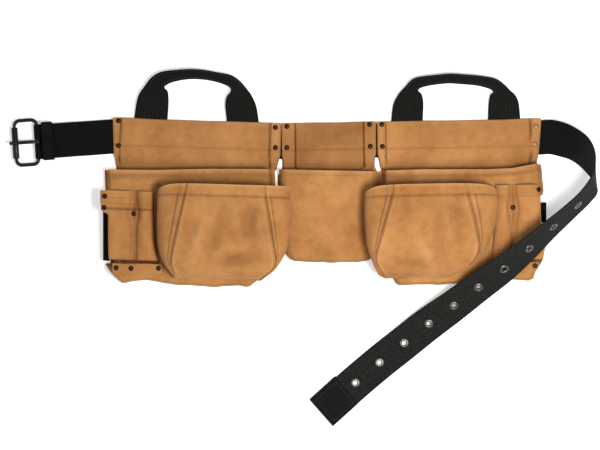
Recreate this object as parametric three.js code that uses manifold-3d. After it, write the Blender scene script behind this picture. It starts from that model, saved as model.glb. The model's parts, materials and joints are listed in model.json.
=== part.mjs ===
import * as THREE from 'three';
import Module from 'manifold-3d';

const wasm = await Module();
wasm.setup();

// Driving sizes in mm, X right, Y up the apron, Z off the floor
const leather = 2;
const webbing = 2;
const seamGap = 0.3;
const webWidth = 50;
const bodyWidth = 650;
const bodyDrop = 240;
const beltStub = 110;
const plateau = 24;
const middlePlateau = 20;
const pouchRise = 42;
const slotRise = 11;
const rivetRadius = 3.9;
const rivetDome = 1.9;
const wireRadius = 2.3;
const rollerRadius = 4.5;
const eyeletPitch = 45.6;
const eyeletHole = 3.3;
const eyeletFlange = 6.8;

// The tables of the leather hold their lengths across in 650ths of the body's width, and up and down
// in 240ths of its drop. The tunnel for the belt, from fold top to stitch line, follows the web's width
const wide = bodyWidth / 650;
const tall = bodyDrop / 240;
const tunnel = webWidth / 50;
const foldLevels = { top: 26, foot: -28, flap: -58, back: -203 };

function level(v) {
  if (v > foldLevels.top) {
    return foldLevels.top * tunnel + (v - foldLevels.top) * tall;
  }
  if (v < foldLevels.foot) {
    return foldLevels.foot * tunnel + (v - foldLevels.foot) * tall;
  }
  return v * tunnel;
}

// Places of the three panels: origin, turn in degrees, side (-1 is mirrored)
const places = {
  left: { x: -190.7 * wide, y: 2.8 * wide, turn: -1.84, side: 1 },
  middle: { x: 0, y: 0, turn: 0.9, side: 1 },
  right: { x: 188.8 * wide, y: 3.2 * wide, turn: 1.04, side: -1 },
};

function placed(place, across, up, z) {
  const a = THREE.MathUtils.degToRad(place.turn);
  const s = place.hardware ? across : across * wide * place.side;
  const v = place.hardware ? up : level(up);
  return new THREE.Vector3(
    place.x + s * Math.cos(a) - v * Math.sin(a),
    place.y + s * Math.sin(a) + v * Math.cos(a),
    z,
  );
}

// A smooth value read from a table of rows [at, value]
function along(table, at) {
  const last = table.length - 1;
  if (at <= table[0][0]) {
    return table[0][1];
  }
  if (at >= table[last][0]) {
    return table[last][1];
  }
  let k = 0;
  while (table[k + 1][0] < at) {
    k += 1;
  }
  const [a0, v0] = table[k];
  const [a1, v1] = table[k + 1];
  return v0 + ((v1 - v0) * (at - a0)) / (a1 - a0);
}

function smooth(t) {
  const c = Math.min(1, Math.max(0, t));
  return c * c * (3 - 2 * c);
}

// A closed solid from an indexed point list
function solid(points, faces) {
  const geometry = new THREE.BufferGeometry();
  geometry.setAttribute('position', new THREE.Float32BufferAttribute(points.flatMap((p) => [p.x, p.y, p.z]), 3));
  geometry.setIndex(faces.flat());
  if (volume(points, faces) < 0) {
    geometry.setIndex(faces.map(([a, b, c]) => [a, c, b]).flat());
  }
  return geometry;
}

function volume(points, faces) {
  let sum = 0;
  for (const [a, b, c] of faces) {
    sum += points[a].dot(new THREE.Vector3().crossVectors(points[b], points[c]));
  }
  return sum;
}

// A soft sheet of even thickness under a grid of outer points, wall measured square to the face
function sheet(grid, thickness, floor = -1) {
  const rows = grid.length;
  const cols = grid[0].length;
  const points = grid.flat().map((p) => p.clone());
  const at = (i, j) => grid[Math.min(rows - 1, Math.max(0, i))][Math.min(cols - 1, Math.max(0, j))];
  for (let i = 0; i < rows; i += 1) {
    for (let j = 0; j < cols; j += 1) {
      const ahead = new THREE.Vector3().subVectors(at(i, j + 1), at(i, j)).normalize();
      ahead.add(new THREE.Vector3().subVectors(at(i, j), at(i, j - 1)).normalize());
      const down = new THREE.Vector3().subVectors(at(i + 1, j), at(i, j)).normalize();
      down.add(new THREE.Vector3().subVectors(at(i, j), at(i - 1, j)).normalize());
      const normal = new THREE.Vector3().crossVectors(ahead, down).normalize();
      const inner = grid[i][j].clone().addScaledVector(normal, thickness);
      inner.z = Math.max(inner.z, floor);
      points.push(inner);
    }
  }
  const n = rows * cols;
  const id = (i, j, k) => k * n + i * cols + j;
  const faces = [];
  const quad = (a, b, c, d) => faces.push([a, b, c], [a, c, d]);
  for (let i = 0; i < rows - 1; i += 1) {
    for (let j = 0; j < cols - 1; j += 1) {
      quad(id(i, j, 0), id(i, j + 1, 0), id(i + 1, j + 1, 0), id(i + 1, j, 0));
      quad(id(i, j, 1), id(i + 1, j, 1), id(i + 1, j + 1, 1), id(i, j + 1, 1));
    }
  }
  for (let j = 0; j < cols - 1; j += 1) {
    quad(id(0, j, 0), id(0, j, 1), id(0, j + 1, 1), id(0, j + 1, 0));
    quad(id(rows - 1, j, 0), id(rows - 1, j + 1, 0), id(rows - 1, j + 1, 1), id(rows - 1, j, 1));
  }
  for (let i = 0; i < rows - 1; i += 1) {
    quad(id(i, 0, 0), id(i + 1, 0, 0), id(i + 1, 0, 1), id(i, 0, 1));
    quad(id(i, cols - 1, 0), id(i, cols - 1, 1), id(i + 1, cols - 1, 1), id(i + 1, cols - 1, 0));
  }
  return solid(points, faces);
}

// A bar through a list of rings, closed on itself or capped
function loft(rings, closed) {
  const size = rings[0].length;
  const points = rings.flat();
  const faces = [];
  const spans = closed ? rings.length : rings.length - 1;
  for (let i = 0; i < spans; i += 1) {
    const a = i * size;
    const b = ((i + 1) % rings.length) * size;
    for (let j = 0; j < size; j += 1) {
      const k = (j + 1) % size;
      faces.push([a + j, a + k, b + k], [a + j, b + k, b + j]);
    }
  }
  if (!closed) {
    const end = (rings.length - 1) * size;
    for (let j = 1; j < size - 1; j += 1) {
      faces.push([0, j + 1, j], [end, end + j, end + j + 1]);
    }
  }
  return solid(points, faces);
}

// Joins and cuts between closed solids
function toManifold(geometry) {
  return new wasm.Manifold(new wasm.Mesh({
    numProp: 3,
    vertProperties: new Float32Array(geometry.getAttribute('position').array),
    triVerts: new Uint32Array(geometry.getIndex().array),
  }));
}

function fromManifold(body) {
  const mesh = body.getMesh();
  const geometry = new THREE.BufferGeometry();
  geometry.setAttribute('position', new THREE.Float32BufferAttribute(Array.from(mesh.vertProperties), 3));
  geometry.setIndex(Array.from(mesh.triVerts));
  return geometry;
}

function cut(geometry, ...tools) {
  let body = toManifold(geometry);
  for (const tool of tools) {
    body = body.subtract(toManifold(tool));
  }
  return fromManifold(body);
}

function block(place, u0, u1, v0, v1, z0, z1) {
  const ring = (z) => [[u0, v0], [u1, v0], [u1, v1], [u0, v1]].map(([u, v]) => placed(place, u, v, z));
  return loft([ring(z0), ring(z1)], false);
}

// A ring of points round a centre, in the plane of two unit vectors
function circle(centre, a, b, radius, sides) {
  return Array.from({ length: sides }, (_, k) => {
    const t = (2 * Math.PI * k) / sides;
    return centre.clone().addScaledVector(a, radius * Math.cos(t)).addScaledVector(b, radius * Math.sin(t));
  });
}

// Frame square to a direction
function across(normal) {
  const n = normal.clone().normalize();
  const side = Math.abs(n.z) < 0.9 ? new THREE.Vector3(0, 0, 1) : new THREE.Vector3(1, 0, 0);
  const a = new THREE.Vector3().crossVectors(side, n).normalize();
  return { n, a, b: new THREE.Vector3().crossVectors(n, a) };
}

// A turned piece from profile rows [radius, height] about a direction
function turned(centre, normal, profile, sides, closed) {
  const { n, a, b } = across(normal);
  const rings = profile.map(([r, h]) => circle(centre.clone().addScaledVector(n, h), a, b, r, sides));
  return loft(rings, closed);
}

const materials = {
  suede: new THREE.MeshStandardMaterial({ color: 0xc18c52, roughness: 0.95 }),
  webbing: new THREE.MeshStandardMaterial({ color: 0x1c1d18, roughness: 0.9 }),
  buckle: new THREE.MeshStandardMaterial({ color: 0x17171a, roughness: 0.45, metalness: 0.6 }),
  eyelet: new THREE.MeshStandardMaterial({ color: 0xa9a8a2, roughness: 0.35, metalness: 0.9 }),
  antique: new THREE.MeshStandardMaterial({ color: 0x4a3626, roughness: 0.45, metalness: 0.8 }),
  pale: new THREE.MeshStandardMaterial({ color: 0xb59a74, roughness: 0.45, metalness: 0.8 }),
};

const group = new THREE.Group();
group.name = 'carpenter_nail_apron';
const pieces = {};

function add(name, geometry, material) {
  const mesh = new THREE.Mesh(geometry, materials[material].clone());
  mesh.name = name;
  geometry.computeBoundingBox();
  geometry.computeBoundingSphere();
  group.add(mesh);
  pieces[name] = mesh;
  return mesh;
}

// The highest point of a piece over a small disc, and the face direction at its middle
const ray = new THREE.Raycaster();
function seat(mesh, x, y, radius) {
  const hits = (dx, dy) => {
    ray.set(new THREE.Vector3(x + dx, y + dy, 300), new THREE.Vector3(0, 0, -1));
    const found = ray.intersectObject(mesh, false);
    return found.length > 0 ? found[0].point : null;
  };
  const centre = hits(0.013, 0.017);
  const rim = [];
  for (let k = 0; k < 12; k += 1) {
    const t = (Math.PI * k) / 6 + 0.1;
    const hit = hits(radius * Math.cos(t), radius * Math.sin(t));
    if (hit) {
      rim.push(hit);
    }
  }
  const normal = new THREE.Vector3();
  for (let k = 0; k < rim.length; k += 1) {
    const a = new THREE.Vector3().subVectors(rim[k], centre);
    const b = new THREE.Vector3().subVectors(rim[(k + 1) % rim.length], centre);
    normal.add(a.cross(b));
  }
  normal.normalize();
  const lift = Math.max(0, ...rim.map((p) => new THREE.Vector3().subVectors(p, centre).dot(normal)));
  return { point: centre.addScaledVector(normal, lift + seamGap), normal };
}

// Yokes: one leather sheet each, back panel, fold over the belt and front flap
const frontOuter = leather + seamGap + webbing + seamGap + leather;
const yokePath = [
  [foldLevels.back, 0], [-120, 0], [-50, 0], [-40, 0], [-22, 0], [foldLevels.top - 3, 0], [foldLevels.top - 1, 0.9],
  [foldLevels.top, frontOuter / 2],
  [foldLevels.top - 1, frontOuter - 0.9], [foldLevels.top - 3, frontOuter], [10, frontOuter], [-14, frontOuter],
  [foldLevels.foot, frontOuter], [foldLevels.foot - 4, frontOuter - 0.9], [foldLevels.foot - 8, 2 * leather + seamGap],
  [foldLevels.flap, 2 * leather + seamGap],
];

// Yoke side edges by height: rows [v, u]
const yokeEdges = {
  left: {
    outer: [[foldLevels.back, -100], [-190, -112], [-150, -119], [-46, -115], [-24, -119.5], [foldLevels.top, -122.4]],
    inner: [[foldLevels.back, 82], [-170, 110], [-50, 113], [-38, 118], [-28, 119.6], [-22, 121.8], [foldLevels.top, 121.4]],
  },
  middle: {
    outer: [
      [foldLevels.back, -50], [-172, -58], [-160, -66], [-140, -71], [-60, -75], [-46, -75], [-40, -66.6],
      [-28, -66.2], [-22, -68], [foldLevels.top, -68],
    ],
    inner: [
      [foldLevels.back, 48], [-172, 56], [-160, 66], [-140, 70], [-60, 74], [-46, 74], [-40, 65],
      [-28, 65.4], [-22, 68.4], [foldLevels.top, 69],
    ],
  },
  right: {
    outer: [[foldLevels.back, -100], [-190, -109], [-150, -112.6], [-40, -112], [-18, -115.4], [foldLevels.top, -119.4]],
    inner: [[foldLevels.back, 82], [-170, 110], [-50, 112], [-38, 115.4], [-28, 116.4], [-22, 118.4], [foldLevels.top, 118.6]],
  },
};

function yoke(key) {
  const place = places[key];
  const edges = yokeEdges[key];
  const shares = [0, 0.06, 0.35, 0.65, 0.94, 1];
  const grid = yokePath.map(([v0, z], row) => {
    const v = key === 'middle' && v0 === foldLevels.back ? -172 : v0;
    const flap = row >= yokePath.length - 2;
    return shares.map((s) => {
      const at = flap ? Math.max(v, -39) : v;
      const left = along(edges.outer, at) + (flap ? 3 : 0);
      const right = along(edges.inner, at) - (flap ? 12 : 0);
      return placed(place, left + (right - left) * s, v, z);
    });
  });
  const flip = place.side > 0 ? grid : grid.map((row) => row.slice().reverse());
  return sheet(flip, leather);
}

// Handles sewn into the fold: rows of outer edge, inner edge, wall and lift
const handleTables = {
  left: [
    [-91.5, 24.3, -43.5, 24.3, 2, 3.4], [-91, 30, -43, 30, 2, 3.4], [-88.6, 50, -42.4, 48, 2, 4.2],
    [-84.8, 61.8, -43, 60, 2.4, 5], [-78, 72, -44.5, 67, 3.4, 6], [-68, 85.5, -49, 71.5, 5, 7],
    [-54, 93.8, -44, 76.5, 6, 8], [-34, 97, -31, 81.2, 6.4, 9], [-12, 99, -12, 84.4, 6.4, 10],
    [8, 98.3, 7, 84.3, 6.4, 10], [27, 95.6, 25, 81.8, 6.4, 9], [48, 92, 41, 77, 6, 8],
    [61, 83.5, 47, 72.5, 5, 7], [71, 72.5, 46, 67, 3.4, 6], [78.5, 62.5, 41.5, 61.5, 2.4, 5],
    [85, 48, 39.6, 50, 2, 4.2], [88.5, 30, 42, 30, 2, 3.4], [89.2, 24.3, 42.4, 24.3, 2, 3.4],
  ],
  right: [
    [-89.4, 24.3, -42.4, 24.3, 2, 3.4], [-89, 30, -42.6, 30, 2, 3.4], [-87.4, 48.2, -43.4, 46, 2, 4.2],
    [-83, 59.4, -45, 57, 2.4, 5], [-75, 67, -46.5, 61.5, 3.4, 6], [-66.7, 75.5, -50.5, 65.5, 5, 7],
    [-54, 84.3, -44, 70, 6, 8], [-30, 89, -26, 74.8, 6.4, 9], [-6, 91.3, -4, 77, 6.4, 10],
    [12.3, 92.6, 12, 78.4, 6.4, 10], [32, 91.3, 29, 77.5, 6.4, 9], [52, 89.5, 44, 75.5, 6, 8],
    [66, 86, 54, 73, 5, 7], [78, 74, 58, 69, 3.4, 6], [87, 64, 53, 64, 2.4, 5],
    [94.3, 49.8, 50.6, 51, 2, 4.2], [97.2, 30, 51.6, 30, 2, 3.4], [97.6, 24.3, 52, 24.3, 2, 3.4],
  ],
};

function handle(key) {
  const rows = handleTables[key];
  const rings = rows.map(([ou, ov, iu, iv, wall, lift]) => {
    const ring = [];
    const bow = wall > 3 ? 0.32 : 0.5;
    const mid = (share) => [ou + (iu - ou) * share, ov + (iv - ov) * share];
    for (const [share, up] of [[0, -bow], [0.25, -0.5], [0.75, -0.5], [1, -bow]]) {
      const [u, v] = mid(share);
      ring.push(placed(places[key], u, v, lift + wall * up));
    }
    for (const [share, up] of [[1, bow], [0.75, 0.5], [0.25, 0.5], [0, bow]]) {
      const [u, v] = mid(share);
      ring.push(placed(places[key], u, v, lift + wall * up));
    }
    return ring;
  });
  return loft(rings, false);
}

function slits(key) {
  const rows = handleTables[key];
  return [[rows[0][0], rows[0][2]], [rows[rows.length - 1][0], rows[rows.length - 1][2]]].map(([a, b]) => {
    const low = Math.min(a, b) - seamGap;
    const high = Math.max(a, b) + seamGap;
    return block(places[key], low, high, foldLevels.top - 2.3, foldLevels.top + 2, 3.4 - 1 - seamGap, 3.4 + 1 + seamGap);
  });
}

add('yoke_left', cut(yoke('left'), ...slits('left')), 'suede');
add('yoke_middle', yoke('middle'), 'suede');
add('yoke_right', cut(yoke('right'), ...slits('right')), 'suede');
add('handle_left', handle('left'), 'webbing');
add('handle_right', handle('right'), 'webbing');

// Edge wall of a pocket sheet: rows [distance in from the edge, share of the rise]
const edgeWall = [[0, 0], [3.4, 0], [5.2, 0.16], [6.8, 0.66], [9, 0.95], [14, 1]];

// A flat pocket sheet on a back panel: flange, standing wall on three sides, open lip on top
function pocketSheet(place, spec, rise) {
  const base = 2 * leather + seamGap;
  const wall = edgeWall.map((row) => row[0]);
  const cols = [
    ...wall.map((d) => ({ from: 'outer', d })),
    ...spec.inside.map((s) => ({ from: 'share', s })),
    ...wall.slice().reverse().map((d) => ({ from: 'inner', d })),
  ];
  const rows = [...spec.rows.map((v) => ({ v })), ...wall.slice().reverse().map((d) => ({ d }))];
  const grid = rows.map((row) => cols.map((col) => {
    const nominal = row.v ?? spec.bottom + row.d;
    const left = along(spec.outer, nominal);
    const right = along(spec.inner, nominal);
    let u = left + 14 + (right - left - 28) * (col.s ?? 0);
    let in1 = 99;
    if (col.from === 'outer') {
      u = left + col.d;
      in1 = col.d;
    }
    if (col.from === 'inner') {
      u = right - col.d;
      in1 = col.d;
    }
    const lip = along(spec.lip, u);
    const low = along(spec.base, u);
    const share = (nominal - spec.rows[0]) / (spec.bottom + 14 - spec.rows[0]);
    let v = lip + (low + 14 - lip) * share;
    let in2 = 99;
    if (row.d !== undefined) {
      v = low + row.d;
      in2 = row.d;
    }
    const up = Math.min(along(edgeWall, in1), along(edgeWall, in2));
    return placed(place, u, v, base + (rise - base) * up);
  }));
  const flip = place.side > 0 ? grid : grid.map((row) => row.slice().reverse());
  return sheet(flip, leather);
}

const pocketSpecs = {
  left: {
    rows: [-46, -60, -97, -108, -150, -186],
    bottom: -211,
    inside: [0.2, 0.4, 0.6, 0.8],
    outer: [[-211, -112], [-207, -122], [-202.5, -126.3], [-200, -126], [-198.4, -119.4], [-190, -119.3],
      [-108, -122.1], [-97, -129], [-46, -132]],
    inner: [[-214, 78], [-204, 98], [-178, 117], [-110, 118.5], [-46, 114.6]],
    lip: [[-132, -50.2], [-54, -48.4], [16, -44.6], [118, -41.6]],
    base: [[-124, -196], [-100, -214.4], [-88, -210.6], [-65, -207.8], [-30, -213.2], [28, -215.2],
      [70, -212.4], [79, -214.2], [103, -204], [117, -194]],
  },
  middle: {
    rows: [-44, -56, -90, -125, -150],
    bottom: -176,
    inside: [0.33, 0.67],
    outer: [[-176, -52], [-172.6, -59.4], [-166, -65.4], [-156, -67.6], [-44, -73]],
    inner: [[-176, 53], [-172.6, 61], [-166, 67.2], [-156, 69.4], [-44, 71]],
    lip: [[-75, -41.6], [71, -46.8]],
    base: [[-66, -174.6], [-32, -176.8], [13, -178.4], [38, -177.6], [66, -174.4]],
  },
  right: {
    rows: [-46, -60, -89, -95, -138, -144, -162, -184],
    bottom: -209,
    inside: [0.2, 0.4, 0.6, 0.8],
    outer: [[-209, -104], [-200, -108], [-190, -117], [-164, -124.4], [-144, -124], [-138, -114.2],
      [-95, -114.2], [-89, -121.6], [-68, -120], [-46, -118.6]],
    inner: [[-213, 91], [-202, 103], [-178, 113], [-110, 116], [-46, 116.6]],
    lip: [[-119, -41], [-111, -39.4], [-74, -45.7], [-38, -46.8], [53, -45.1], [118, -45.8]],
    base: [[-124, -198], [-104, -206], [-97, -208.8], [-71, -206.6], [20, -212.2], [91, -212.6], [103, -202], [113, -192]],
  },
};

add('rear_pocket_left', pocketSheet(places.left, pocketSpecs.left, plateau), 'suede');
add('middle_pocket', pocketSheet(places.middle, pocketSpecs.middle, middlePlateau), 'suede');
add('rear_pocket_right', pocketSheet(places.right, pocketSpecs.right, plateau), 'suede');

// Front pouch: a section across the pouch, rows [share of the rise, dart or side point by name]
// Tables by station: v, foot, side, dart on the outer side, then dart, side, foot on the inner side,
// and the share of the full rise
const pouchTables = {
  left: [
    [-70, -33, -49.6, -9, 101, 137.5, 99, 1],
    [-84, -33, -49.8, -11.5, 103.4, 138.2, 99, 1.02],
    [-110, -33, -49.6, -16.6, 109, 138.3, 99, 1.04],
    [-135, -33, -48.8, -21.5, 114, 137.8, 99, 1.04],
    [-155, -32, -47.4, -25.4, 118, 136, 98, 1.0],
    [-170, -30, -43.6, -28, 121, 130, 96, 0.93],
    [-182, -27, -38, -28.4, 119, 122.4, 92, 0.83],
    [-191, -24, -31.4, -25, 110, 113.6, 87, 0.68],
    [-197.4, -21, -26.6, -22, 102, 105.4, 82, 0.5],
    [-200.6, -19.6, -23, -20, 98, 100.4, 80, 0.32],
    [-199.8, -18.6, -19.6, -16, 93, 96, 84, 0.14],
    [-196.4, -17, -15.6, -12, 88, 91, 93, 0],
  ],
  right: [
    [-70, -29, -47.6, -2, 101, 138, 100, 1],
    [-84, -29, -48.8, -5.5, 102.6, 139.2, 100, 1.02],
    [-110, -28, -47.8, -12.4, 110.6, 140.2, 100, 1.04],
    [-135, -24, -42.6, -17.6, 118, 139.4, 100, 1.03],
    [-155, -17, -34, -20.6, 123.6, 137, 98, 0.98],
    [-170, -9, -24, -17, 127, 132.6, 96, 0.91],
    [-182, 0, -13.6, -8, 124, 128.4, 92, 0.81],
    [-190, 10, 0, 5, 118, 124.4, 87, 0.68],
    [-196, 19, 13, 17, 114, 121, 82, 0.5],
    [-199, 26, 21, 25, 110, 115, 80, 0.32],
    [-198.4, 29, 27.4, 30.5, 106, 110, 84, 0.14],
    [-195, 30, 32, 35, 102, 105, 107, 0],
  ],
};

// Folds and dents of the pouch fronts: rows [u, v, half length, half width, turn in degrees, depth]
const pouchFolds = {
  left: [
    [16, -110, 60, 11, 84, -2.2], [60, -118, 40, 12, 62, 3.6], [66, -176, 34, 9, 25, 3], [92, -120, 34, 10, 75, -2],
  ],
  right: [
    [14, -122, 38, 8, 80, 3.4], [38, -128, 46, 9, 88, 2.6], [66, -150, 40, 12, 70, -2], [86, -112, 40, 11, 96, 2.2],
  ],
};

function dent(rows, u, v) {
  let sum = 0;
  for (const [cu, cv, length, width, turn, depth] of rows) {
    const a = THREE.MathUtils.degToRad(turn);
    const p = (u - cu) * Math.cos(a) + (v - cv) * Math.sin(a);
    const q = -(u - cu) * Math.sin(a) + (v - cv) * Math.cos(a);
    sum += depth * Math.exp(-(p * p) / (length * length) - (q * q) / (width * width));
  }
  return sum;
}

function pouch(key) {
  const place = places[key];
  const grid = pouchTables[key].map(([v, footOut, sideOut, dartOut, dartIn, sideIn, footIn, rise], row) => {
    const h = pouchRise * rise;
    const tuck = Math.min(1, h / 20);
    const middle = (dartOut + dartIn) / 2;
    const section = new THREE.CatmullRomCurve3([
      new THREE.Vector3(footOut, 0, 0), new THREE.Vector3(sideOut + 1.6 * tuck, 0.26 * h, 0),
      new THREE.Vector3(sideOut, 0.52 * h, 0), new THREE.Vector3((sideOut * 2 + dartOut) / 3, 0.8 * h, 0),
      new THREE.Vector3(dartOut, 0.93 * h, 0), new THREE.Vector3((dartOut + middle) / 2, 0.985 * h, 0),
      new THREE.Vector3(middle, h, 0), new THREE.Vector3((dartIn + middle) / 2, 0.985 * h, 0),
      new THREE.Vector3(dartIn, 0.93 * h, 0), new THREE.Vector3((sideIn * 2 + dartIn) / 3, 0.8 * h, 0),
      new THREE.Vector3(sideIn, 0.52 * h, 0), new THREE.Vector3(sideIn - 2.4 * tuck, 0.3 * h, 0),
      new THREE.Vector3(footIn, 0, 0),
    ], false, 'centripetal');
    const steps = [0, 0.6, 1.2, 2, 2.6, 3.3, 3.82, 4, 4.18, 4.7, 5.3, 6, 6.7, 7.3, 7.82, 8, 8.18,
      8.7, 9.4, 10, 10.6, 11.2, 12];
    return steps.map((s) => {
      const p = section.getPoint(s / 12);
      const front = Math.max(0, Math.min(1, (p.y / Math.max(h, 1) - 0.5) * 2.5));
      const bite = Math.abs(s - 4) < 0.01 || Math.abs(s - 8) < 0.01 ? 1.3 * front : 0;
      const press = dent(pouchFolds[key], p.x, v) * front;
      const lean = row === 0 ? 11 * smooth((p.y / Math.max(h, 1) - 0.4) / 0.6) - 8 : 0;
      return placed(place, p.x, v + lean, plateau + seamGap + Math.max(0, p.y - bite - press));
    });
  });
  const flip = place.side > 0 ? grid : grid.map((r) => r.slice().reverse());
  return sheet(flip, leather, plateau + seamGap);
}

add('pouch_left', pouch('left'), 'suede');
add('pouch_right', pouch('right'), 'suede');

// Tool pockets, two slots open at both ends: v, outer foot, outer side, seam, half seam, inner foot, rise
const toolTables = {
  left: [
    [-80, -114, -133.6, -84.6, 2, -52, 0.92], [-94, -114, -133.4, -84.6, 2.6, -52, 1],
    [-109.4, -111, -131.6, -84.6, 5.4, -51, 1.04], [-114.4, -108, -121.6, -84.6, 5.4, -50, 1.04],
    [-130, -107, -121, -83.4, 2, -49, 1.04], [-150, -107, -120.4, -83, 2, -48, 1],
    [-170, -107, -119.4, -82.6, 2, -46, 0.9], [-181, -107, -118.4, -82.6, 2, -44, 0.8],
  ],
  right: [
    [-70, -104, -110, -73.4, 2, -48, 0.92], [-88, -102, -112.4, -73.4, 3, -48, 0.96],
    [-97, -102, -112.4, -73.4, 5.4, -47, 0.96], [-108, -102, -112.4, -73.4, 5.4, -47, 0.96],
    [-130, -103, -113.6, -73.5, 2, -46, 0.94], [-150, -105, -117, -73.5, 2, -44, 0.9],
    [-165, -105, -116.6, -73.5, 2, -42, 0.86], [-178, -104, -115, -73.5, 2, -40, 0.82],
  ],
};

function toolPocket(key) {
  const place = places[key];
  const grid = toolTables[key].map(([v, foot, side, seam, flat, end, rise]) => {
    const h = slotRise * rise;
    const wide = seam - foot;
    const rest = end - seam;
    const section = [
      [foot, 0.5], [side + 2, 0.24 * h], [side, 0.56 * h], [side + 3, 0.84 * h], [foot + wide * 0.2, 0.98 * h],
      [foot + wide * 0.5, h], [seam - flat - 4, 0.7 * h], [seam - flat, leather], [seam + flat, leather],
      [seam + flat + 4, 0.7 * h], [seam + rest * 0.5, h], [end - 4.5, 0.74 * h], [end - 0.6, 0.36 * h], [end, 0.5],
    ];
    return section.map(([u, z]) => placed(place, u, v, plateau + seamGap + z));
  });
  const flip = place.side > 0 ? grid : grid.map((r) => r.slice().reverse());
  return sheet(flip, leather, plateau + seamGap);
}

add('tool_pocket_left', toolPocket('left'), 'suede');
add('tool_pocket_right', toolPocket('right'), 'suede');

// Bottom bands under the tool slots: outline from the outer end to the pouch
const bandTables = {
  left: [[-113.5, -184, -197], [-98, -184.4, -199], [-80, -183.4, -199.6], [-60, -183, -199], [-42, -184, -196.5]],
  right: [[-108, -181, -191], [-98, -181, -194.4], [-80, -181, -195.4], [-60, -180.6, -194.6], [-34, -184, -192.5]],
};

function band(key) {
  const rows = bandTables[key].map(([u, top, low]) => [low, (low + top) / 2, top].map(
    (v) => placed(places[key], u, v, plateau + seamGap + leather),
  ));
  const flip = places[key].side > 0 ? rows : rows.map((r) => r.slice().reverse());
  return sheet(flip, leather);
}

add('bottom_band_left', band('left'), 'suede');
add('bottom_band_right', band('right'), 'suede');

// Hammer loops: a flattened ring of web along the outer side seam
const loopTables = {
  left: [[-106, -131.6], [-130, -130.8], [-158, -129.9], [-181.4, -129.1]],
  right: [[-96, -123.8], [-104, -123.6], [-114, -123.4], [-125, -123.3]],
};

function hammerLoop(key) {
  const high = 13.6;
  const shape = (inset) => {
    const pts = [];
    const w = 9 - inset * 2;
    const h = high - inset * 2;
    const r = 3.4 - inset * 0.8;
    for (const [cu, cz, from] of [[1, 1, 0], [-1, 1, 90], [-1, -1, 180], [1, -1, 270]]) {
      for (const turn of [8, 45, 82]) {
        const t = THREE.MathUtils.degToRad(from + turn);
        pts.push([cu * (w / 2 - r) + r * Math.cos(t), cz * (h / 2 - r) + r * Math.sin(t)]);
      }
    }
    return pts;
  };
  const ring = (outside) => loopTables[key].map(([v, edge], row) => {
    const reach = outside ? 0 : (row === 0 ? 1 : 0) - (row === loopTables[key].length - 1 ? 1 : 0);
    return shape(outside ? 0 : 1.8).map(([u, z]) => placed(places[key], edge + 4.5 + u, v + reach, z + high / 2));
  });
  return cut(loft(ring(true), false), loft(ring(false), false));
}

add('hammer_loop_left', hammerLoop('left'), 'webbing');
add('hammer_loop_right', hammerLoop('right'), 'webbing');

// Buckle place: the middle of its bar, its own x runs towards the apron
const buckle = { x: -311 * wide - beltStub, y: -2.6, turn: 4, hardware: true };
const barHeight = wireRadius + seamGap + webbing + 0.02;
const frameReach = 32.2;
const frameHalf = webWidth / 2 + 7.2;
const frameCorner = 8;
const rollerHalf = frameHalf - frameCorner - 1.7;

function buckleFrame() {
  const path = [];
  const corner = frameCorner;
  const corners = [[0, 1, 0], [-frameReach, 1, 90], [-frameReach, -1, 180], [0, -1, 270]];
  for (const [cx, cy, from] of corners) {
    const mx = cx + (cx === 0 ? -corner : corner);
    const my = cy * (frameHalf - corner);
    for (const turn of [0, 30, 60, 90]) {
      const t = THREE.MathUtils.degToRad(from + turn);
      path.push([mx + corner * Math.cos(t), my + corner * Math.sin(t), Math.cos(t), Math.sin(t)]);
    }
  }
  const rings = path.map(([px, py, nx, ny]) => {
    const centre = placed(buckle, px, py, barHeight);
    const out = placed(buckle, px + nx, py + ny, barHeight).sub(centre);
    // The wire is a little thicker round its corners and sides than on its two bars
    const swell = 0.35 * smooth((Math.abs(py) - frameHalf + corner) / 5);
    return circle(centre, out, new THREE.Vector3(0, 0, 1), wireRadius + swell, 8);
  });
  return loft(rings, true);
}

function roller() {
  const bore = wireRadius + 0.35;
  const rows = [[bore, -rollerHalf], [rollerRadius, -rollerHalf], [rollerRadius, rollerHalf], [bore, rollerHalf]];
  const centre = placed(buckle, -frameReach, 0, barHeight);
  const along1 = placed(buckle, -frameReach, 1, barHeight).sub(centre);
  return turned(centre, along1, rows, 12, true);
}

// Tongue: an eye round the bar and a flat finger that rests on the roller
function tongue() {
  const half = 2.6;
  const inner = wireRadius + 0.35;
  const outer = inner + 1.8;
  const up = barHeight + rollerRadius + seamGap + 1.7;
  const eye = (y) => {
    const centre = placed(buckle, 0, y, barHeight);
    const out = placed(buckle, -1, y, barHeight).sub(centre);
    return { centre, out };
  };
  const e0 = eye(-half);
  const e1 = eye(half);
  const z = new THREE.Vector3(0, 0, 1);
  const ring = loft([circle(e0.centre, e0.out, z, outer, 14), circle(e1.centre, e1.out, z, outer, 14)], false);
  const f0 = eye(-half - 1);
  const f1 = eye(half + 1);
  const hole = loft([circle(f0.centre, f0.out, z, inner, 14), circle(f1.centre, f1.out, z, inner, 14)], false);
  const finger = [[-2.6, 3.1, 3], [-8, 4.6, 3.2], [-17, 6.0, 3.2], [-26, up - barHeight, 3.2],
    [-36.6, up - barHeight, 3], [-39.8, up - barHeight - 0.4, 2.2]].map(([x, h, wall], k, all) => {
    const w = k === all.length - 1 ? half * 0.7 : half;
    return [[-w, -0.5], [w, -0.5], [w, 0.3], [w * 0.6, 0.5], [-w * 0.6, 0.5], [-w, 0.3]].map(
      ([y, s]) => placed(buckle, x, y, barHeight + h + s * wall),
    );
  });
  const body = toManifold(ring).add(toManifold(loft(finger, false))).subtract(toManifold(hole));
  return fromManifold(body);
}

add('buckle_frame', buckleFrame(), 'buckle');
add('buckle_roller', roller(), 'buckle');
add('buckle_tongue', tongue(), 'buckle');

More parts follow.
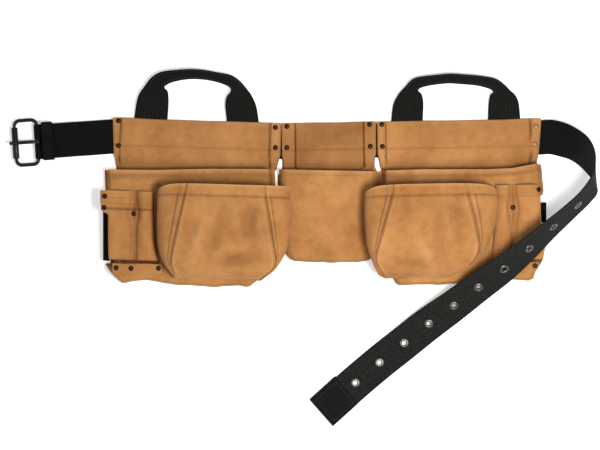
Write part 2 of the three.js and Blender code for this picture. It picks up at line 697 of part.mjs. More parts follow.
// Belt: stations of the web, x, y, z, then the width direction; the first rows fold round the bar
const beltLayer = leather + seamGap + webbing / 2;
const lowLayer = webbing / 2 + 0.05;
const keeperWall = 2;
const foldRadius = wireRadius + seamGap + webbing / 2;

function beltStations() {
  const rows = [];
  const push = (p, w) => rows.push({ p, w: w.clone().normalize() });
  const wide = placed(buckle, 0, 1, 0).sub(placed(buckle, 0, 0, 0));
  for (const [x, lift] of [[49, 1], [30, 1], [10, 1], [7, 0.8], [3, 0]]) {
    push(placed(buckle, x, 0, lowLayer + lift * keeperWall), wide);
  }
  for (const turn of [-90, -120, -150, 180, 150, 120, 90]) {
    const t = THREE.MathUtils.degToRad(turn);
    push(placed(buckle, foldRadius * Math.cos(t), 0, barHeight + foldRadius * Math.sin(t)), wide);
  }
  const upper = lowLayer + keeperWall + webbing + seamGap;
  for (const [x, z] of [[3, 8.3], [6, 7.5], [9, 6.6], [13, upper + 0.2], [17, upper], [50, upper], [62, beltLayer + 0.6],
    [78, beltLayer]]) {
    push(placed(buckle, x, 0, z), wide);
  }
  const yokeRow = (key, u) => {
    const p = placed(places[key], u, -1.5, beltLayer);
    const up = placed(places[key], u, 0, 0).sub(placed(places[key], u, -1, 0));
    push(p, up);
  };
  for (const [key, us] of [['left', [-121, -60, 0, 60, 119]], ['middle', [-64, 0, 64]], ['right', [114, 60, 0, -60, -117, -121.5]]]) {
    for (const u of us) {
      yokeRow(key, u);
    }
  }
  return rows;
}

// The loose tail: x, y, z of the middle, then the width direction x, y, z
const tailTable = [
  [321, 4.4, 4.4, 2, 74, 4], [333, 1.6, 8, 6, 70, 14], [350, -5.7, 16, 8, 60, 34], [364.5, -18.7, 32, 8, 54, 43],
  [374.5, -40, 50, -4, 50, 48], [374.5, -62.4, 62, -19, 36, 57], [360, -83, 67, -26, 24, 61],
  [337.4, -104.7, 66, -28, 23, 60], [309.8, -130.1, 60, -27, 30, 56], [283.8, -154.2, 56, -32, 35, 50],
  [248.9, -184.2, 49, -36, 42, 40], [213, -211.6, 36, -38, 48, 31], [178.6, -239.4, 21, -39, 50, 22],
  [142, -267.3, 9, -40, 53, 10], [107.7, -295.2, 3.4, -41, 56, 2], [74.6, -321.5, 2.2, -41, 56, 0],
  [38.4, -352, 2.2, -42, 53, 0], [14, -374, 2.2, -43, 51, 0], [-10.1, -395.7, 2.2, -44, 50, 0],
];

function curved(rows, step) {
  const centre = new THREE.CatmullRomCurve3(rows.map((r) => r.p), false, 'centripetal');
  const width = new THREE.CatmullRomCurve3(rows.map((r) => r.w.clone().multiplyScalar(100)), false, 'catmullrom');
  const out = [];
  const n = rows.length - 1;
  for (let k = 0; k < n; k += 1) {
    const parts = Math.max(1, Math.round(rows[k].p.distanceTo(rows[k + 1].p) / step));
    for (let m = 0; m < parts; m += 1) {
      const t = (k + m / parts) / n;
      out.push({ p: centre.getPoint(t), w: width.getPoint(t).normalize() });
    }
  }
  out.push(rows[n]);
  return out;
}

function webRings(stations, halfWidth, wall) {
  return stations.map((s, k) => {
    const before = stations[Math.max(0, k - 1)].p;
    const after = stations[Math.min(stations.length - 1, k + 1)].p;
    const ahead = new THREE.Vector3().subVectors(after, before).normalize();
    const normal = new THREE.Vector3().crossVectors(ahead, s.w).normalize();
    const at = (w, h) => s.p.clone().addScaledVector(s.w, w).addScaledVector(normal, h);
    const h = wall / 2;
    return [at(-halfWidth, -h), at(halfWidth, -h), at(halfWidth, h), at(-halfWidth, h)];
  });
}

const beltRows = beltStations();
const tailRows = tailTable.map(([x, y, z, wx, wy, wz]) => ({
  p: new THREE.Vector3(x * wide, y * tall, z), w: new THREE.Vector3(wx, wy, wz).normalize(),
}));
const tailCurve = curved([beltRows[beltRows.length - 1], ...tailRows], 14);
const beltLine = [...beltRows.slice(0, -1), ...tailCurve];

// Eyelets sit a pitch apart, counted back from the tip
function tailPlace(fromTip) {
  let left = fromTip;
  for (let k = beltLine.length - 1; k > 0; k -= 1) {
    const a = beltLine[k];
    const b = beltLine[k - 1];
    const span = a.p.distanceTo(b.p);
    if (left <= span) {
      const t = left / span;
      const p = a.p.clone().lerp(b.p, t);
      const w = a.w.clone().lerp(b.w, t).normalize();
      const ahead = new THREE.Vector3().subVectors(a.p, b.p).normalize();
      return { p, normal: new THREE.Vector3().crossVectors(ahead, w).normalize() };
    }
    left -= span;
  }
  return null;
}

const eyelets = Array.from({ length: 10 }, (_, k) => tailPlace(66 + eyeletPitch * (9 - k)));
const clear = eyeletHole + 1 + seamGap;
const punches = eyelets.map(({ p, normal }) => turned(p, normal, [[clear, -4], [clear, 4]], 10, false));
const tongueSlot = block(buckle, -9, 14, -4, 4, -1, 30);

// The web is one length: its folded end, its run through the yokes and its free tail are solids of their own
const foldCount = 17;
const runStart = {
  p: placed(buckle, 17 + seamGap, 0, lowLayer + keeperWall + webbing + seamGap), w: beltRows[foldCount].w,
};
const runEnd = { p: placed(places.right, -121.5 + seamGap, -1.5, beltLayer), w: beltRows[beltRows.length - 1].w };
const webSolid = (stations) => loft(webRings(stations, webWidth / 2, webbing), false);
add('belt_fold', cut(webSolid(beltRows.slice(0, foldCount)), tongueSlot), 'webbing');
add('belt_web', webSolid([runStart, ...beltRows.slice(foldCount, -1), runEnd]), 'webbing');
add('belt_tail', cut(webSolid(tailCurve), ...punches), 'webbing');

eyelets.forEach(({ p, normal }, k) => {
  const reach = [-eyeletFlange, eyeletFlange].map((d) => tailPlace(66 + eyeletPitch * (9 - k) + d).p);
  const bend = Math.max(...reach.map((q) => Math.abs(q.clone().sub(p).dot(normal))));
  const near = webbing / 2 + seamGap + 0.03 + bend;
  const far = near + 0.78;
  const profile = [
    [eyeletHole, -far], [eyeletFlange, -near - 0.3], [eyeletFlange, -near], [eyeletHole + 1, -near],
    [eyeletHole + 1, near], [eyeletFlange, near], [eyeletHole, far],
  ];
  add(`eyelet_${String(k + 1).padStart(2, '0')}`, turned(p, normal, profile, 10, true), 'eyelet');
});

// Keeper loop round both belt layers, with room for the tail
function keeperRing() {
  const half = webWidth / 2 + 0.8;
  const low = lowLayer - webbing / 2;
  const high = lowLayer + keeperWall + webbing * 1.5 + seamGap + 6.8;
  const wall = keeperWall - seamGap;
  const box = (x, w, z0, z1) => [[-w, z0], [w, z0], [w, z1], [-w, z1]].map(([y, z]) => placed(buckle, x, y, z));
  const shell = loft([8, 22.5].map((x) => box(x, half + wall, low, high + wall)), false);
  return cut(shell, loft([7, 23.5].map((x) => box(x, half, low + wall, high)), false));
}

add('belt_keeper', keeperRing(), 'webbing');

// Rivets: low domes on the leather, rows of panel, u, v, piece below
const rivetTable = [
  ['yoke', 'left', -113.7, 21.2, 'yoke_left', 'antique'], ['yoke', 'left', -112.5, -14.7, 'yoke_left', 'antique'],
  ['yoke', 'left', 113.4, 18.7, 'yoke_left', 'antique'], ['yoke', 'left', 114.4, -10.4, 'yoke_left', 'antique'],
  ['yoke', 'middle', -59.9, 20.4, 'yoke_middle', 'antique'], ['yoke', 'middle', -60.4, -10.3, 'yoke_middle', 'antique'],
  ['yoke', 'middle', 59.7, 21.2, 'yoke_middle', 'antique'], ['yoke', 'middle', 60.1, -10.4, 'yoke_middle', 'antique'],
  ['yoke', 'right', 111.6, 21.2, 'yoke_right', 'antique'], ['yoke', 'right', 111.3, -10.7, 'yoke_right', 'antique'],
  ['yoke', 'right', -111.4, 14.5, 'yoke_right', 'pale'], ['yoke', 'right', -109.1, -11.3, 'yoke_right', 'pale'],
  ['bag', 'left', -126.4, -88.9, 'tool_pocket_left', 'antique'], ['bag', 'left', -126.6, -105, 'tool_pocket_left', 'antique'],
  ['bag', 'left', -85.1, -112.4, 'tool_pocket_left', 'antique'], ['bag', 'left', -107.6, -190.6, 'bottom_band_left', 'antique'],
  ['bag', 'left', -86.3, -190.8, 'bottom_band_left', 'antique'], ['bag', 'left', -47, -189.4, 'bottom_band_left', 'antique'],
  ['bag', 'right', -109.5, -77.5, 'tool_pocket_right', 'antique'], ['bag', 'right', -73.4, -102.5, 'tool_pocket_right', 'antique'],
  ['bag', 'right', -103, -186.4, 'bottom_band_right', 'antique'],
];

rivetTable.forEach(([kind, key, u, v, below, finish], k) => {
  const p = placed(places[key], u, v, 0);
  const { point, normal } = seat(pieces[below], p.x, p.y, rivetRadius + 0.2);
  const profile = [[rivetRadius, 0], [rivetRadius * 0.8, rivetDome * 0.7], [rivetRadius * 0.3, rivetDome]];
  add(`rivet_${kind}_${String(k + 1).padStart(2, '0')}`, turned(point, normal, profile, 10, false), finish);
});

export default group;
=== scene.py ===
import json
import math

import bmesh
import bpy
from mathutils import Matrix, Vector, noise

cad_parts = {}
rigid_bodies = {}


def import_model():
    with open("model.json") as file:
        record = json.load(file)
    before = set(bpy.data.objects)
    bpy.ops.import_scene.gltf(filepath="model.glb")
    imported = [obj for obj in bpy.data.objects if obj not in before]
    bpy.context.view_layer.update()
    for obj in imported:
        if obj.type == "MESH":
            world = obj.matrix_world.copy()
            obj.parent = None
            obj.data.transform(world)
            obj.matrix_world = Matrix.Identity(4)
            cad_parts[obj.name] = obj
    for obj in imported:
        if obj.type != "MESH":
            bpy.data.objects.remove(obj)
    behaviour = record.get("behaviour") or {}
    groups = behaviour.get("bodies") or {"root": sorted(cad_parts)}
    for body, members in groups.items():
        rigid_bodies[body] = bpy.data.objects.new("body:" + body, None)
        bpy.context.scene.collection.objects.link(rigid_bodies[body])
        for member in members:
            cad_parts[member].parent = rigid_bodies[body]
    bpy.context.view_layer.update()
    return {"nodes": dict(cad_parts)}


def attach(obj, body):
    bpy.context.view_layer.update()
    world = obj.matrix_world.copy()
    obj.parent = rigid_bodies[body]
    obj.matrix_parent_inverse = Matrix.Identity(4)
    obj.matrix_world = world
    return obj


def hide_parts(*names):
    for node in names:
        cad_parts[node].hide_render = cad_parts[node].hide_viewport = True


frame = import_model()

# The studio: the apron lies flat on a pale floor and is seen from straight above.
# One soft lamp stands over its right side, and a wide weak one fills in from the left.


def fresh_skin(name):
    """A new material, with its nodes, its links and its shader."""
    skin = bpy.data.materials.new(name)
    skin.use_nodes = True
    nodes = skin.node_tree.nodes
    return skin, nodes, skin.node_tree.links, nodes["Principled BSDF"]


def dialled(node, settings):
    """The same node, with the named sockets set."""
    for socket, value in settings.items():
        node.inputs[socket].default_value = value
    return node


floor_mesh = bpy.data.meshes.new("floor")
floor_bm = bmesh.new()
bmesh.ops.create_grid(floor_bm, x_segments=1, y_segments=1, size=4.0)
floor_bm.to_mesh(floor_mesh)
floor_bm.free()
floor = bpy.data.objects.new("floor", floor_mesh)
floor.data.transform(Matrix.Translation((-0.04, -0.12, -0.0006)))
bpy.context.scene.collection.objects.link(floor)
floor_paint, nodes, links, shader = fresh_skin("floor_paint")
dialled(shader, {"Base Color": (0.93, 0.93, 0.925, 1), "Roughness": 0.9,
                 "Emission Color": (1, 1, 1, 1), "Emission Strength": 0.35})
floor.data.materials.append(floor_paint)


def area_lamp(name, at, aim, size, power, colour):
    lamp = bpy.data.lights.new(name, "AREA")
    lamp.shape = "SQUARE"
    lamp.size = size
    lamp.energy = power
    lamp.color = colour
    holder = bpy.data.objects.new(name, lamp)
    holder.location = at
    holder.rotation_euler = (Vector(aim) - Vector(at)).to_track_quat("-Z", "Y").to_euler()
    bpy.context.scene.collection.objects.link(holder)


area_lamp("key_lamp", (0.34, -0.27, 1.08), (-0.03, -0.12, 0.0), 0.3, 13.6, (1.0, 0.985, 0.96))
area_lamp("fill_lamp", (-1.3, -0.5, 1.9), (-0.05, -0.1, 0.0), 1.2, 8, (0.97, 0.985, 1.0))
bpy.context.scene.view_settings.view_transform = "Standard"
sky = bpy.data.worlds.new("sky")
sky.use_nodes = True
dialled(sky.node_tree.nodes["Background"], {"Color": (1.0, 1.0, 1.0, 1), "Strength": 0.33})
bpy.context.scene.world = sky

view_height = 2.2
view_width = 0.87
eye = bpy.data.cameras.new("eye")
eye.sensor_width = 36
eye.lens = 36 * view_height / view_width
eye.clip_end = 20
camera = bpy.data.objects.new("eye", eye)
camera.location = (-0.0413, -0.123, view_height)
bpy.context.scene.collection.objects.link(camera)
bpy.context.scene.camera = camera

# Yokes: three suede panels, each folded over the belt and carried on behind the bag as its back.
# The ends are doubled and riveted, and a line of stitching runs under the belt tunnel.
panels = {
    "left": {"x": -190.7, "y": 2.8, "turn": -1.84, "side": 1},
    "middle": {"x": 0.0, "y": 0.0, "turn": 0.9, "side": 1},
    "right": {"x": 188.8, "y": 3.2, "turn": 1.04, "side": -1},
}


def on_panel(key, u, v, z):
    """A point in metres, from its place on a panel: mm across, mm up and mm off the floor."""
    panel = panels[key]
    turn = math.radians(panel["turn"])
    across = u * panel["side"]
    x = panel["x"] + across * math.cos(turn) - v * math.sin(turn)
    y = panel["y"] + across * math.sin(turn) + v * math.cos(turn)
    return Vector((x, y, z)) / 1000


def along(table, at):
    """The value of a table of (place, value) pairs at a place, with its ends held."""
    for (a0, b0), (a1, b1) in zip(table, table[1:]):
        if at <= a1:
            share = (max(at, a0) - a0) / (a1 - a0)
            return b0 + (b1 - b0) * share
    return table[-1][1]


def ease(share):
    share = min(1.0, max(0.0, share))
    return share * share * (3 - 2 * share)


def line(at, place, width):
    """A mark that is 1 at its place and fades out over its width."""
    return math.exp(-((at - place) / width) ** 2)


def uneven(x, y, z):
    """A smooth swell between -1 and 1, always the same at the same place."""
    return noise.noise(Vector((x, y, z)))


def spread(stops, step):
    """Places from the first stop to the last, at most a step or so apart."""
    out = []
    for a, b in zip(stops, stops[1:]):
        parts = max(1, round(abs(b - a) / step))
        out += [a + (b - a) * k / parts for k in range(parts)]
    return out + [stops[-1]]


def finished(name, bm, skin, rides="apron"):
    """Makes a bmesh an object with its material, on the body that it moves with."""
    mesh = bpy.data.meshes.new(name)
    bm.to_mesh(mesh)
    bm.free()
    for face in mesh.polygons:
        face.use_smooth = True
    piece = bpy.data.objects.new(name, mesh)
    bpy.context.scene.collection.objects.link(piece)
    mesh.materials.append(skin)
    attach(piece, rides)
    return piece


def sewn_sheet(name, columns, rows, shape, skin, mirrored, wall=2.0, rim=0.6, tone=None):
    """A sheet of leather or web: shape places its front face, and its wall goes behind that."""
    bm = bmesh.new()
    bm.loops.layers.uv.new("cut")
    # The tone layer holds painted shade and painted highlight, with some darker tone, for the suede.
    painted_light_and_tone = bm.verts.layers.float.new("tone")
    bmesh.ops.create_grid(bm, x_segments=len(columns) - 1, y_segments=len(rows) - 1, size=0.5, calc_uvs=True)
    for vert in bm.verts:
        column = columns[round((vert.co.x + 0.5) * (len(columns) - 1))]
        row = rows[round((vert.co.y + 0.5) * (len(rows) - 1))]
        vert.co = shape(column, row)
        vert[painted_light_and_tone] = tone(column, row) if tone else 0
    if not mirrored:
        bmesh.ops.reverse_faces(bm, faces=bm.faces)
    piece = finished(name, bm, skin)
    thick = piece.modifiers.new("wall", "SOLIDIFY")
    thick.thickness = wall / 1000
    thick.offset = -1
    thick.edge_crease_rim = rim
    if tone:
        piece.data.materials.append(cut_edge)
        thick.material_offset_rim = 1
    soft = piece.modifiers.new("soft", "SUBSURF")
    soft.levels = 1
    soft.render_levels = 1
    return piece


def fed(tree, value, socket):
    """Feeds a socket from another node, or sets it to a plain number or colour."""
    if isinstance(value, (int, float)):
        socket.default_value = value
    elif isinstance(value, tuple):
        socket.default_value = (*value, 1)
    else:
        tree.links.new(value, socket)


def maths(tree, kind, *values):
    node = tree.nodes.new("ShaderNodeMath")
    node.operation = kind
    for socket, value in zip(node.inputs, values):
        fed(tree, value, socket)
    return node.outputs["Value"]


def colour_mix(tree, factor, first, second, blend="MIX"):
    node = tree.nodes.new("ShaderNodeMix")
    node.data_type = "RGBA"
    node.blend_type = blend
    for socket, value in (("Factor", factor), ("A", first), ("B", second)):
        fed(tree, value, node.inputs[socket])
    return node.outputs["Result"]


def cloud(tree, place, scale, detail, rough=0.5):
    node = dialled(tree.nodes.new("ShaderNodeTexNoise"), {"Scale": scale, "Detail": detail, "Roughness": rough})
    tree.links.new(place, node.inputs["Vector"])
    return node.outputs["Fac"]


def stretched(tree, value, spans):
    node = dialled(tree.nodes.new("ShaderNodeMapRange"), spans)
    tree.links.new(value, node.inputs["Value"])
    return node.outputs["Result"]


def embossed(tree, shader, height, strength, depth):
    """Gives a shader the bump of a height, with its depth in metres."""
    bump = dialled(tree.nodes.new("ShaderNodeBump"), {"Strength": strength, "Distance": depth})
    tree.links.new(height, bump.inputs["Height"])
    tree.links.new(bump.outputs["Normal"], shader.inputs["Normal"])


def effect(name, inputs):
    """An empty node group, with its inputs, and a colour and a height as its outputs."""
    group = bpy.data.node_groups.new(name, "ShaderNodeTree")
    for socket, kind in inputs:
        group.interface.new_socket(socket, in_out="INPUT", socket_type=f"NodeSocket{kind}")
    for socket, kind in (("Color", "Color"), ("Height", "Float")):
        group.interface.new_socket(socket, in_out="OUTPUT", socket_type=f"NodeSocket{kind}")
    return group, group.nodes.new("NodeGroupInput").outputs, group.nodes.new("NodeGroupOutput").inputs


def suede_group():
    """Suede: broad blotches, a mottle and a fine nap, darkened by a negative tone and lightened by a positive one:
    painted shade and painted highlight.
    """
    group, given, result = effect("suede_nap", (("Vector", "Vector"), ("Light", "Color"), ("Dark", "Color"),
                                                ("Tone", "Float")))
    blotch = cloud(group, given["Vector"], 17, 3, 0.55)
    mottle = cloud(group, given["Vector"], 95, 4, 0.6)
    nap = cloud(group, given["Vector"], 1100, 3, 0.7)
    mixed = maths(group, "ADD", maths(group, "MULTIPLY", blotch, 0.62), maths(group, "MULTIPLY", mottle, 0.26))
    mixed = maths(group, "ADD", mixed, maths(group, "MULTIPLY", nap, 0.22))
    ground = stretched(group, mixed, {"From Min": 0.42, "From Max": 0.68})
    ground = colour_mix(group, ground, given["Dark"], given["Light"])
    painted_shade_and_darkening = maths(group, "MULTIPLY", given["Tone"], -1)
    painted_shade_and_darkening = maths(group, "MINIMUM", maths(group, "MAXIMUM", painted_shade_and_darkening, 0), 1)
    painted_highlight = maths(group, "MINIMUM", maths(group, "MAXIMUM", given["Tone"], 0), 1)
    # Painted shade multiplies the colour darker, and painted highlight screens it lighter.
    nap_with_painted_light = colour_mix(group, painted_shade_and_darkening, ground, (0.2, 0.13, 0.08), "MULTIPLY")
    nap_with_painted_light = colour_mix(group, painted_highlight, nap_with_painted_light, (0.42, 0.3, 0.17), "SCREEN")
    height = maths(group, "ADD", maths(group, "MULTIPLY", mottle, 0.7), maths(group, "MULTIPLY", nap, 0.5))
    group.links.new(nap_with_painted_light, result["Color"])
    group.links.new(height, result["Height"])
    return group


suede_nap = suede_group()


def suede(name, light, dark, shift):
    skin, nodes, links, shader = fresh_skin(name)
    move = dialled(nodes.new("ShaderNodeMapping"), {"Location": (shift, shift * 0.6, 0)})
    links.new(nodes.new("ShaderNodeTexCoord").outputs["Object"], move.inputs["Vector"])
    # The tone attribute brings in the painted shade and painted highlight.
    painted_light_and_tone = nodes.new("ShaderNodeAttribute")
    painted_light_and_tone.attribute_name = "tone"
    nap = nodes.new("ShaderNodeGroup")
    nap.node_tree = suede_nap
    for socket, value in (("Vector", move.outputs["Vector"]), ("Light", light), ("Dark", dark),
                          ("Tone", painted_light_and_tone.outputs["Fac"])):
        fed(skin.node_tree, value, nap.inputs[socket])
    links.new(nap.outputs["Color"], shader.inputs["Base Color"])
    embossed(skin.node_tree, shader, nap.outputs["Height"], 0.35, 0.0009)
    dialled(shader, {"Roughness": 0.93, "Specular IOR Level": 0.18, "Sheen Weight": 0.12, "Sheen Roughness": 0.45,
                     "Sheen Tint": (1.0, 0.84, 0.62, 1)})
    return skin


yoke_skin = suede("yoke_suede", (0.475, 0.222, 0.074), (0.33, 0.14, 0.042), 0.0)
cut_edge = suede("cut_edge", (0.62, 0.4, 0.2), (0.42, 0.24, 0.1), 1.9)

# Each yoke's outline: the path of its face up the back, round the belt and down the front, as (up, height),
# and its outer and inner edges, as (up, across). It is doubled up to the first place and from the second on.
yoke_path = [
    (-203, 0), (-120, 0), (-50, 0), (-40, 0), (-22, 0), (23, 0), (24.4, 0.5), (25.5, 1.6), (26, 3.3), (25.5, 5.0),
    (24.4, 6.1), (23, 6.6), (10, 6.6), (-14, 6.6), (-28, 6.6), (-32, 5.7), (-36, 4.3), (-58, 4.3),
]
flap_height = [(-58, 4.3), (-36, 4.3), (-32, 5.7), (-28, 6.6), (26, 6.6)]
middle_foot = -172
yoke_edges = {
    "left": {
        "outer": [(-203, -100), (-190, -112), (-150, -119), (-46, -115), (-24, -119.5), (26, -122.4)],
        "inner": [(-203, 82), (-170, 110), (-50, 113), (-38, 118), (-28, 119.6), (-22, 121.8), (26, 121.4)],
        "doubled": (-110.5, 106.5),
    },
    "middle": {
        "outer": [(-203, -50), (-172, -58), (-160, -66), (-140, -71), (-60, -75), (-46, -75), (-40, -66.6),
                  (-28, -66.2), (-22, -68), (26, -68)],
        "inner": [(-203, 48), (-172, 56), (-160, 66), (-140, 70), (-60, 74), (-46, 74), (-40, 65),
                  (-28, 65.4), (-22, 68.4), (26, 69)],
        "doubled": (-48, 51),
    },
    "right": {
        "outer": [(-203, -100), (-190, -109), (-150, -112.6), (-40, -112), (-18, -115.4), (26, -119.4)],
        "inner": [(-203, 82), (-170, 110), (-50, 112), (-38, 115.4), (-28, 116.4), (-22, 118.4), (26, 118.6)],
        "doubled": (-102.5, 106),
    },
}


def yoke_front(key, u, v):
    """Height of the yoke's front face over the floor, in mm."""
    low, high = yoke_edges[key]["doubled"]
    strip = max(ease((low - u) / 1.2 + 0.5), ease((u - high) / 1.2 + 0.5))
    wave = uneven(u * 0.018, v * 0.03, 3.1 if key == "left" else 7.7) * 0.7
    belly = 1.5 * ease((v + 30) / 16) * ease((24 - v) / 14) * (1 - strip * 0.6)
    groove = 0.6 * line(v, -15, 1.2) + 0.7 * line(u, high + 0.8, 1) + 0.7 * line(u, low - 0.8, 1)
    rise = 1.3 * strip * ease((v + 40) / 8) + (wave + belly - groove) * ease((v + 36) / 10)
    return along(flap_height, v) + rise


def yoke(key):
    edges = yoke_edges[key]
    low_mark, high_mark = edges["doubled"]
    rows = []
    for (v0, z0), (v1, z1) in zip(yoke_path, yoke_path[1:]):
        parts = max(1, round(math.hypot(v1 - v0, z1 - z0) / (14 if z0 == 0 and v0 < 0 else 3)))
        rows += [(v0 + (v1 - v0) * k / parts, z0 + (z1 - z0) * k / parts) for k in range(parts)]
    rows = [(v, z, k > 8 and z > 3.4) for k, (v, z) in enumerate(rows + [yoke_path[-1]])]
    if key == "middle":
        rows = [(max(v, middle_foot), z, front) for v, z, front in rows]
        rows = [row for k, row in enumerate(rows) if k == 0 or row[:2] != rows[k - 1][:2]]
    wide = 240 if key != "middle" else 136
    columns = [0, 0.012, 0.03] + [0.03 + 0.94 * k / 54 for k in range(1, 54)] + [0.97, 0.988, 1]
    columns += [min(0.985, max(0.015, 0.5 + (mark + shift) / wide))
                for mark in (high_mark, low_mark) for shift in (-2, -1, 0, 1, 2)]
    columns = sorted(set(columns))

    def shape(share, row):
        v, z, front = row
        at = max(v, -39) if z > 4 else v
        low, high = along(edges["outer"], at), along(edges["inner"], at)
        if 4 < z < 6 and v < -45:
            low, high = low + 3, high - 12
        u = low + (high - low) * share
        top = 0.9 * uneven(u * 0.02, 4.2, 0.5) * ease((v - 16) / 8)
        lift = yoke_front(key, u, v) - along(flap_height, v) if front else 0
        return on_panel(key, u, v + top, z + lift)

    def tone(share, row):
        v, z, front = row
        if not front:
            return -0.1
        u = along(edges["outer"], v) * (1 - share) + along(edges["inner"], v) * share
        # Painted shade at the steps of the doubled ends, in the stitch groove and low down where the yoke runs in
        # behind the pocket lips; the side edges are darker too.
        dark = 0.75 * (line(u, high_mark, 1.2) + line(u, low_mark, 1.2)) + 0.45 * line(v, -15, 1.1)
        dark += 0.3 * ease((-27 - v) / 14) + 0.35 * line(share, 0, 0.008) + 0.35 * line(share, 1, 0.008)
        # Painted highlight on the raised doubled ends and along the top of the fold.
        light = 0.12 * (ease((u - high_mark) / 2) + ease((low_mark - u) / 2)) + 0.12 * line(v, 24, 2)
        # The middle yoke is darker all over.
        return light - dark - (0.3 if key == "middle" else 0.05)

    piece = sewn_sheet(f"folded_yoke_{key}", columns, rows, shape, yoke_skin, panels[key]["side"] < 0, tone=tone)
    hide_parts(f"yoke_{key}")


for key in panels:
    yoke(key)

# Seam thread: brown waxed thread in short even stitches, sunk a little into the suede.
# Each run of stitches follows its seam, and is one joined piece.


def thread(name, dark, light):
    skin, nodes, links, shader = fresh_skin(name)
    twist = cloud(skin.node_tree, nodes.new("ShaderNodeTexCoord").outputs["Object"], 2600, 2)
    links.new(colour_mix(skin.node_tree, twist, dark, light), shader.inputs["Base Color"])
    shader.inputs["Roughness"].default_value = 0.8
    return skin


thread_skin = thread("seam_thread", (0.19, 0.085, 0.03), (0.36, 0.19, 0.08))
thread_lift = Vector((0, 0, 0.0002))


def stitched(name, seams, skin=thread_skin, pitch=3.4, long=2.5, girth=0.42):
    """One piece of thread: seams are lists of points on the surface, in metres."""
    bm = bmesh.new()
    for seam in seams:
        spans = [(b - a).length * 1000 for a, b in zip(seam, seam[1:])]
        total = sum(spans)
        count = max(1, int(total / pitch))
        for k in range(count):
            at = (k + 0.5) * total / count
            done = 0
            for (a, b), span in zip(zip(seam, seam[1:]), spans):
                if done + span >= at:
                    point = a.lerp(b, (at - done) / span)
                    turn = (b - a).to_track_quat("X", "Z").to_matrix().to_4x4()
                    size = Matrix.Diagonal((long / 2000, girth / 1000, girth * 0.8 / 1000, 1))
                    bmesh.ops.create_uvsphere(bm, u_segments=6, v_segments=4, radius=1,
                                              matrix=Matrix.Translation(point) @ turn @ size)
                    break
                done += span
    piece = finished(name, bm, skin)


def yoke_seam(key, points):
    return [on_panel(key, u, v, yoke_front(key, u, v) + 0.15) for u, v in points]


def straight(a, b, step=4):
    parts = max(2, round(math.dist(a, b) / step))
    return [(a[0] + (b[0] - a[0]) * k / parts, a[1] + (b[1] - a[1]) * k / parts) for k in range(parts + 1)]


for key, low, high in (("left", -119, 118.5), ("middle", -65, 65), ("right", -114.5, 115.5)):
    seams = [yoke_seam(key, straight((low, -15), (high, -15)))]
    if key == "left":
        seams += [yoke_seam(key, straight((-113.6, 16), (-113.2, -10))),
                  yoke_seam(key, straight((111, 13), (111.4, -7)))]
    if key == "right":
        seams += [yoke_seam(key, straight((-105.5, 20), (-103.6, -12)))]
    stitched(f"yoke_thread_{key}", seams)

# Belt: one length of black 50 mm cotton web. One end is folded round the buckle bar, and the
# tail comes off the right yoke, turns over on itself and runs down to the left over the bag.
buckle_turn = math.radians(4)


def at_buckle(x, y, z):
    return Vector((-421 + x * math.cos(buckle_turn) - y * math.sin(buckle_turn),
                   -2.6 + x * math.sin(buckle_turn) + y * math.cos(buckle_turn), z)) / 1000


bar_height = 4.62
low_layer, keeper_wall = 1.05, 2.0
web_half = 25.0


def web_group():
    """Web: ribs side by side, crossed by picks that are staggered from rib to rib, with a little lint."""
    group, given, result = effect("web_weave", (("Vector", "Vector"), ("Across", "Float"), ("Along", "Float"),
                                                ("Thread", "Color"), ("Gap", "Color")))
    split = group.nodes.new("ShaderNodeSeparateXYZ")
    group.links.new(given["Vector"], split.inputs["Vector"])
    warp = maths(group, "MULTIPLY", split.outputs["X"], given["Across"])
    weft = maths(group, "MULTIPLY", split.outputs["Y"], given["Along"])
    rib = maths(group, "ABSOLUTE", maths(group, "SINE", maths(group, "MULTIPLY", warp, math.pi)))
    odd = maths(group, "MODULO", maths(group, "FLOOR", warp), 2)
    beat = maths(group, "ADD", weft, maths(group, "MULTIPLY", odd, 0.5))
    pick = maths(group, "ABSOLUTE", maths(group, "SINE", maths(group, "MULTIPLY", beat, math.pi)))
    height = maths(group, "ADD", 0.55, maths(group, "MULTIPLY", pick, 0.45))
    height = maths(group, "MULTIPLY", maths(group, "POWER", rib, 0.6), height)
    patches = cloud(group, given["Vector"], 7, 5)
    shade = maths(group, "MULTIPLY", height, maths(group, "ADD", 0.5, patches))
    group.links.new(colour_mix(group, shade, given["Gap"], given["Thread"]), result["Color"])
    group.links.new(height, result["Height"])
    return group


web_weave = web_group()
rib_pitch, pick_pitch = 1.9, 2.6


def webbing(name, across, length, thread, gap, paler_span=None):
    """Black web, with its ribs along the piece. It is paler, in uneven speckles, from one share of its length to
    another.
    """
    skin, nodes, links, shader = fresh_skin(name)
    tree = skin.node_tree
    place = nodes.new("ShaderNodeUVMap")
    place.uv_map = "cut"
    weave = nodes.new("ShaderNodeGroup")
    weave.node_tree = web_weave
    for socket, value in (("Vector", place.outputs["UV"]), ("Across", across / rib_pitch),
                          ("Along", length / pick_pitch), ("Thread", thread), ("Gap", gap)):
        fed(tree, value, weave.inputs[socket])
    colour = weave.outputs["Color"]
    if paler_span:
        split = nodes.new("ShaderNodeSeparateXYZ")
        links.new(place.outputs["UV"], split.inputs["Vector"])
        reach = stretched(tree, split.outputs["Y"], {"From Min": paler_span[0], "From Max": paler_span[1]})
        spots = cloud(tree, nodes.new("ShaderNodeTexCoord").outputs["Object"], 420, 4)
        patches = stretched(tree, spots, {"From Min": 0.25, "From Max": 0.75})
        colour = colour_mix(tree, maths(tree, "MULTIPLY", reach, patches), colour, (0.021, 0.021, 0.0195))
    links.new(colour, shader.inputs["Base Color"])
    embossed(tree, shader, weave.outputs["Height"], 0.7, 0.0005)
    dialled(shader, {"Roughness": 0.82, "Specular IOR Level": 0.1, "Sheen Weight": 0.02})
    return skin


belt_skin = webbing("belt_web_skin", 50, 1400, (0.0044, 0.0047, 0.0036), (0.0013, 0.0013, 0.001), paler_span=(0.45, 0.7))
wire, seam_gap, web_wall = 2.3, 0.3, 2.0


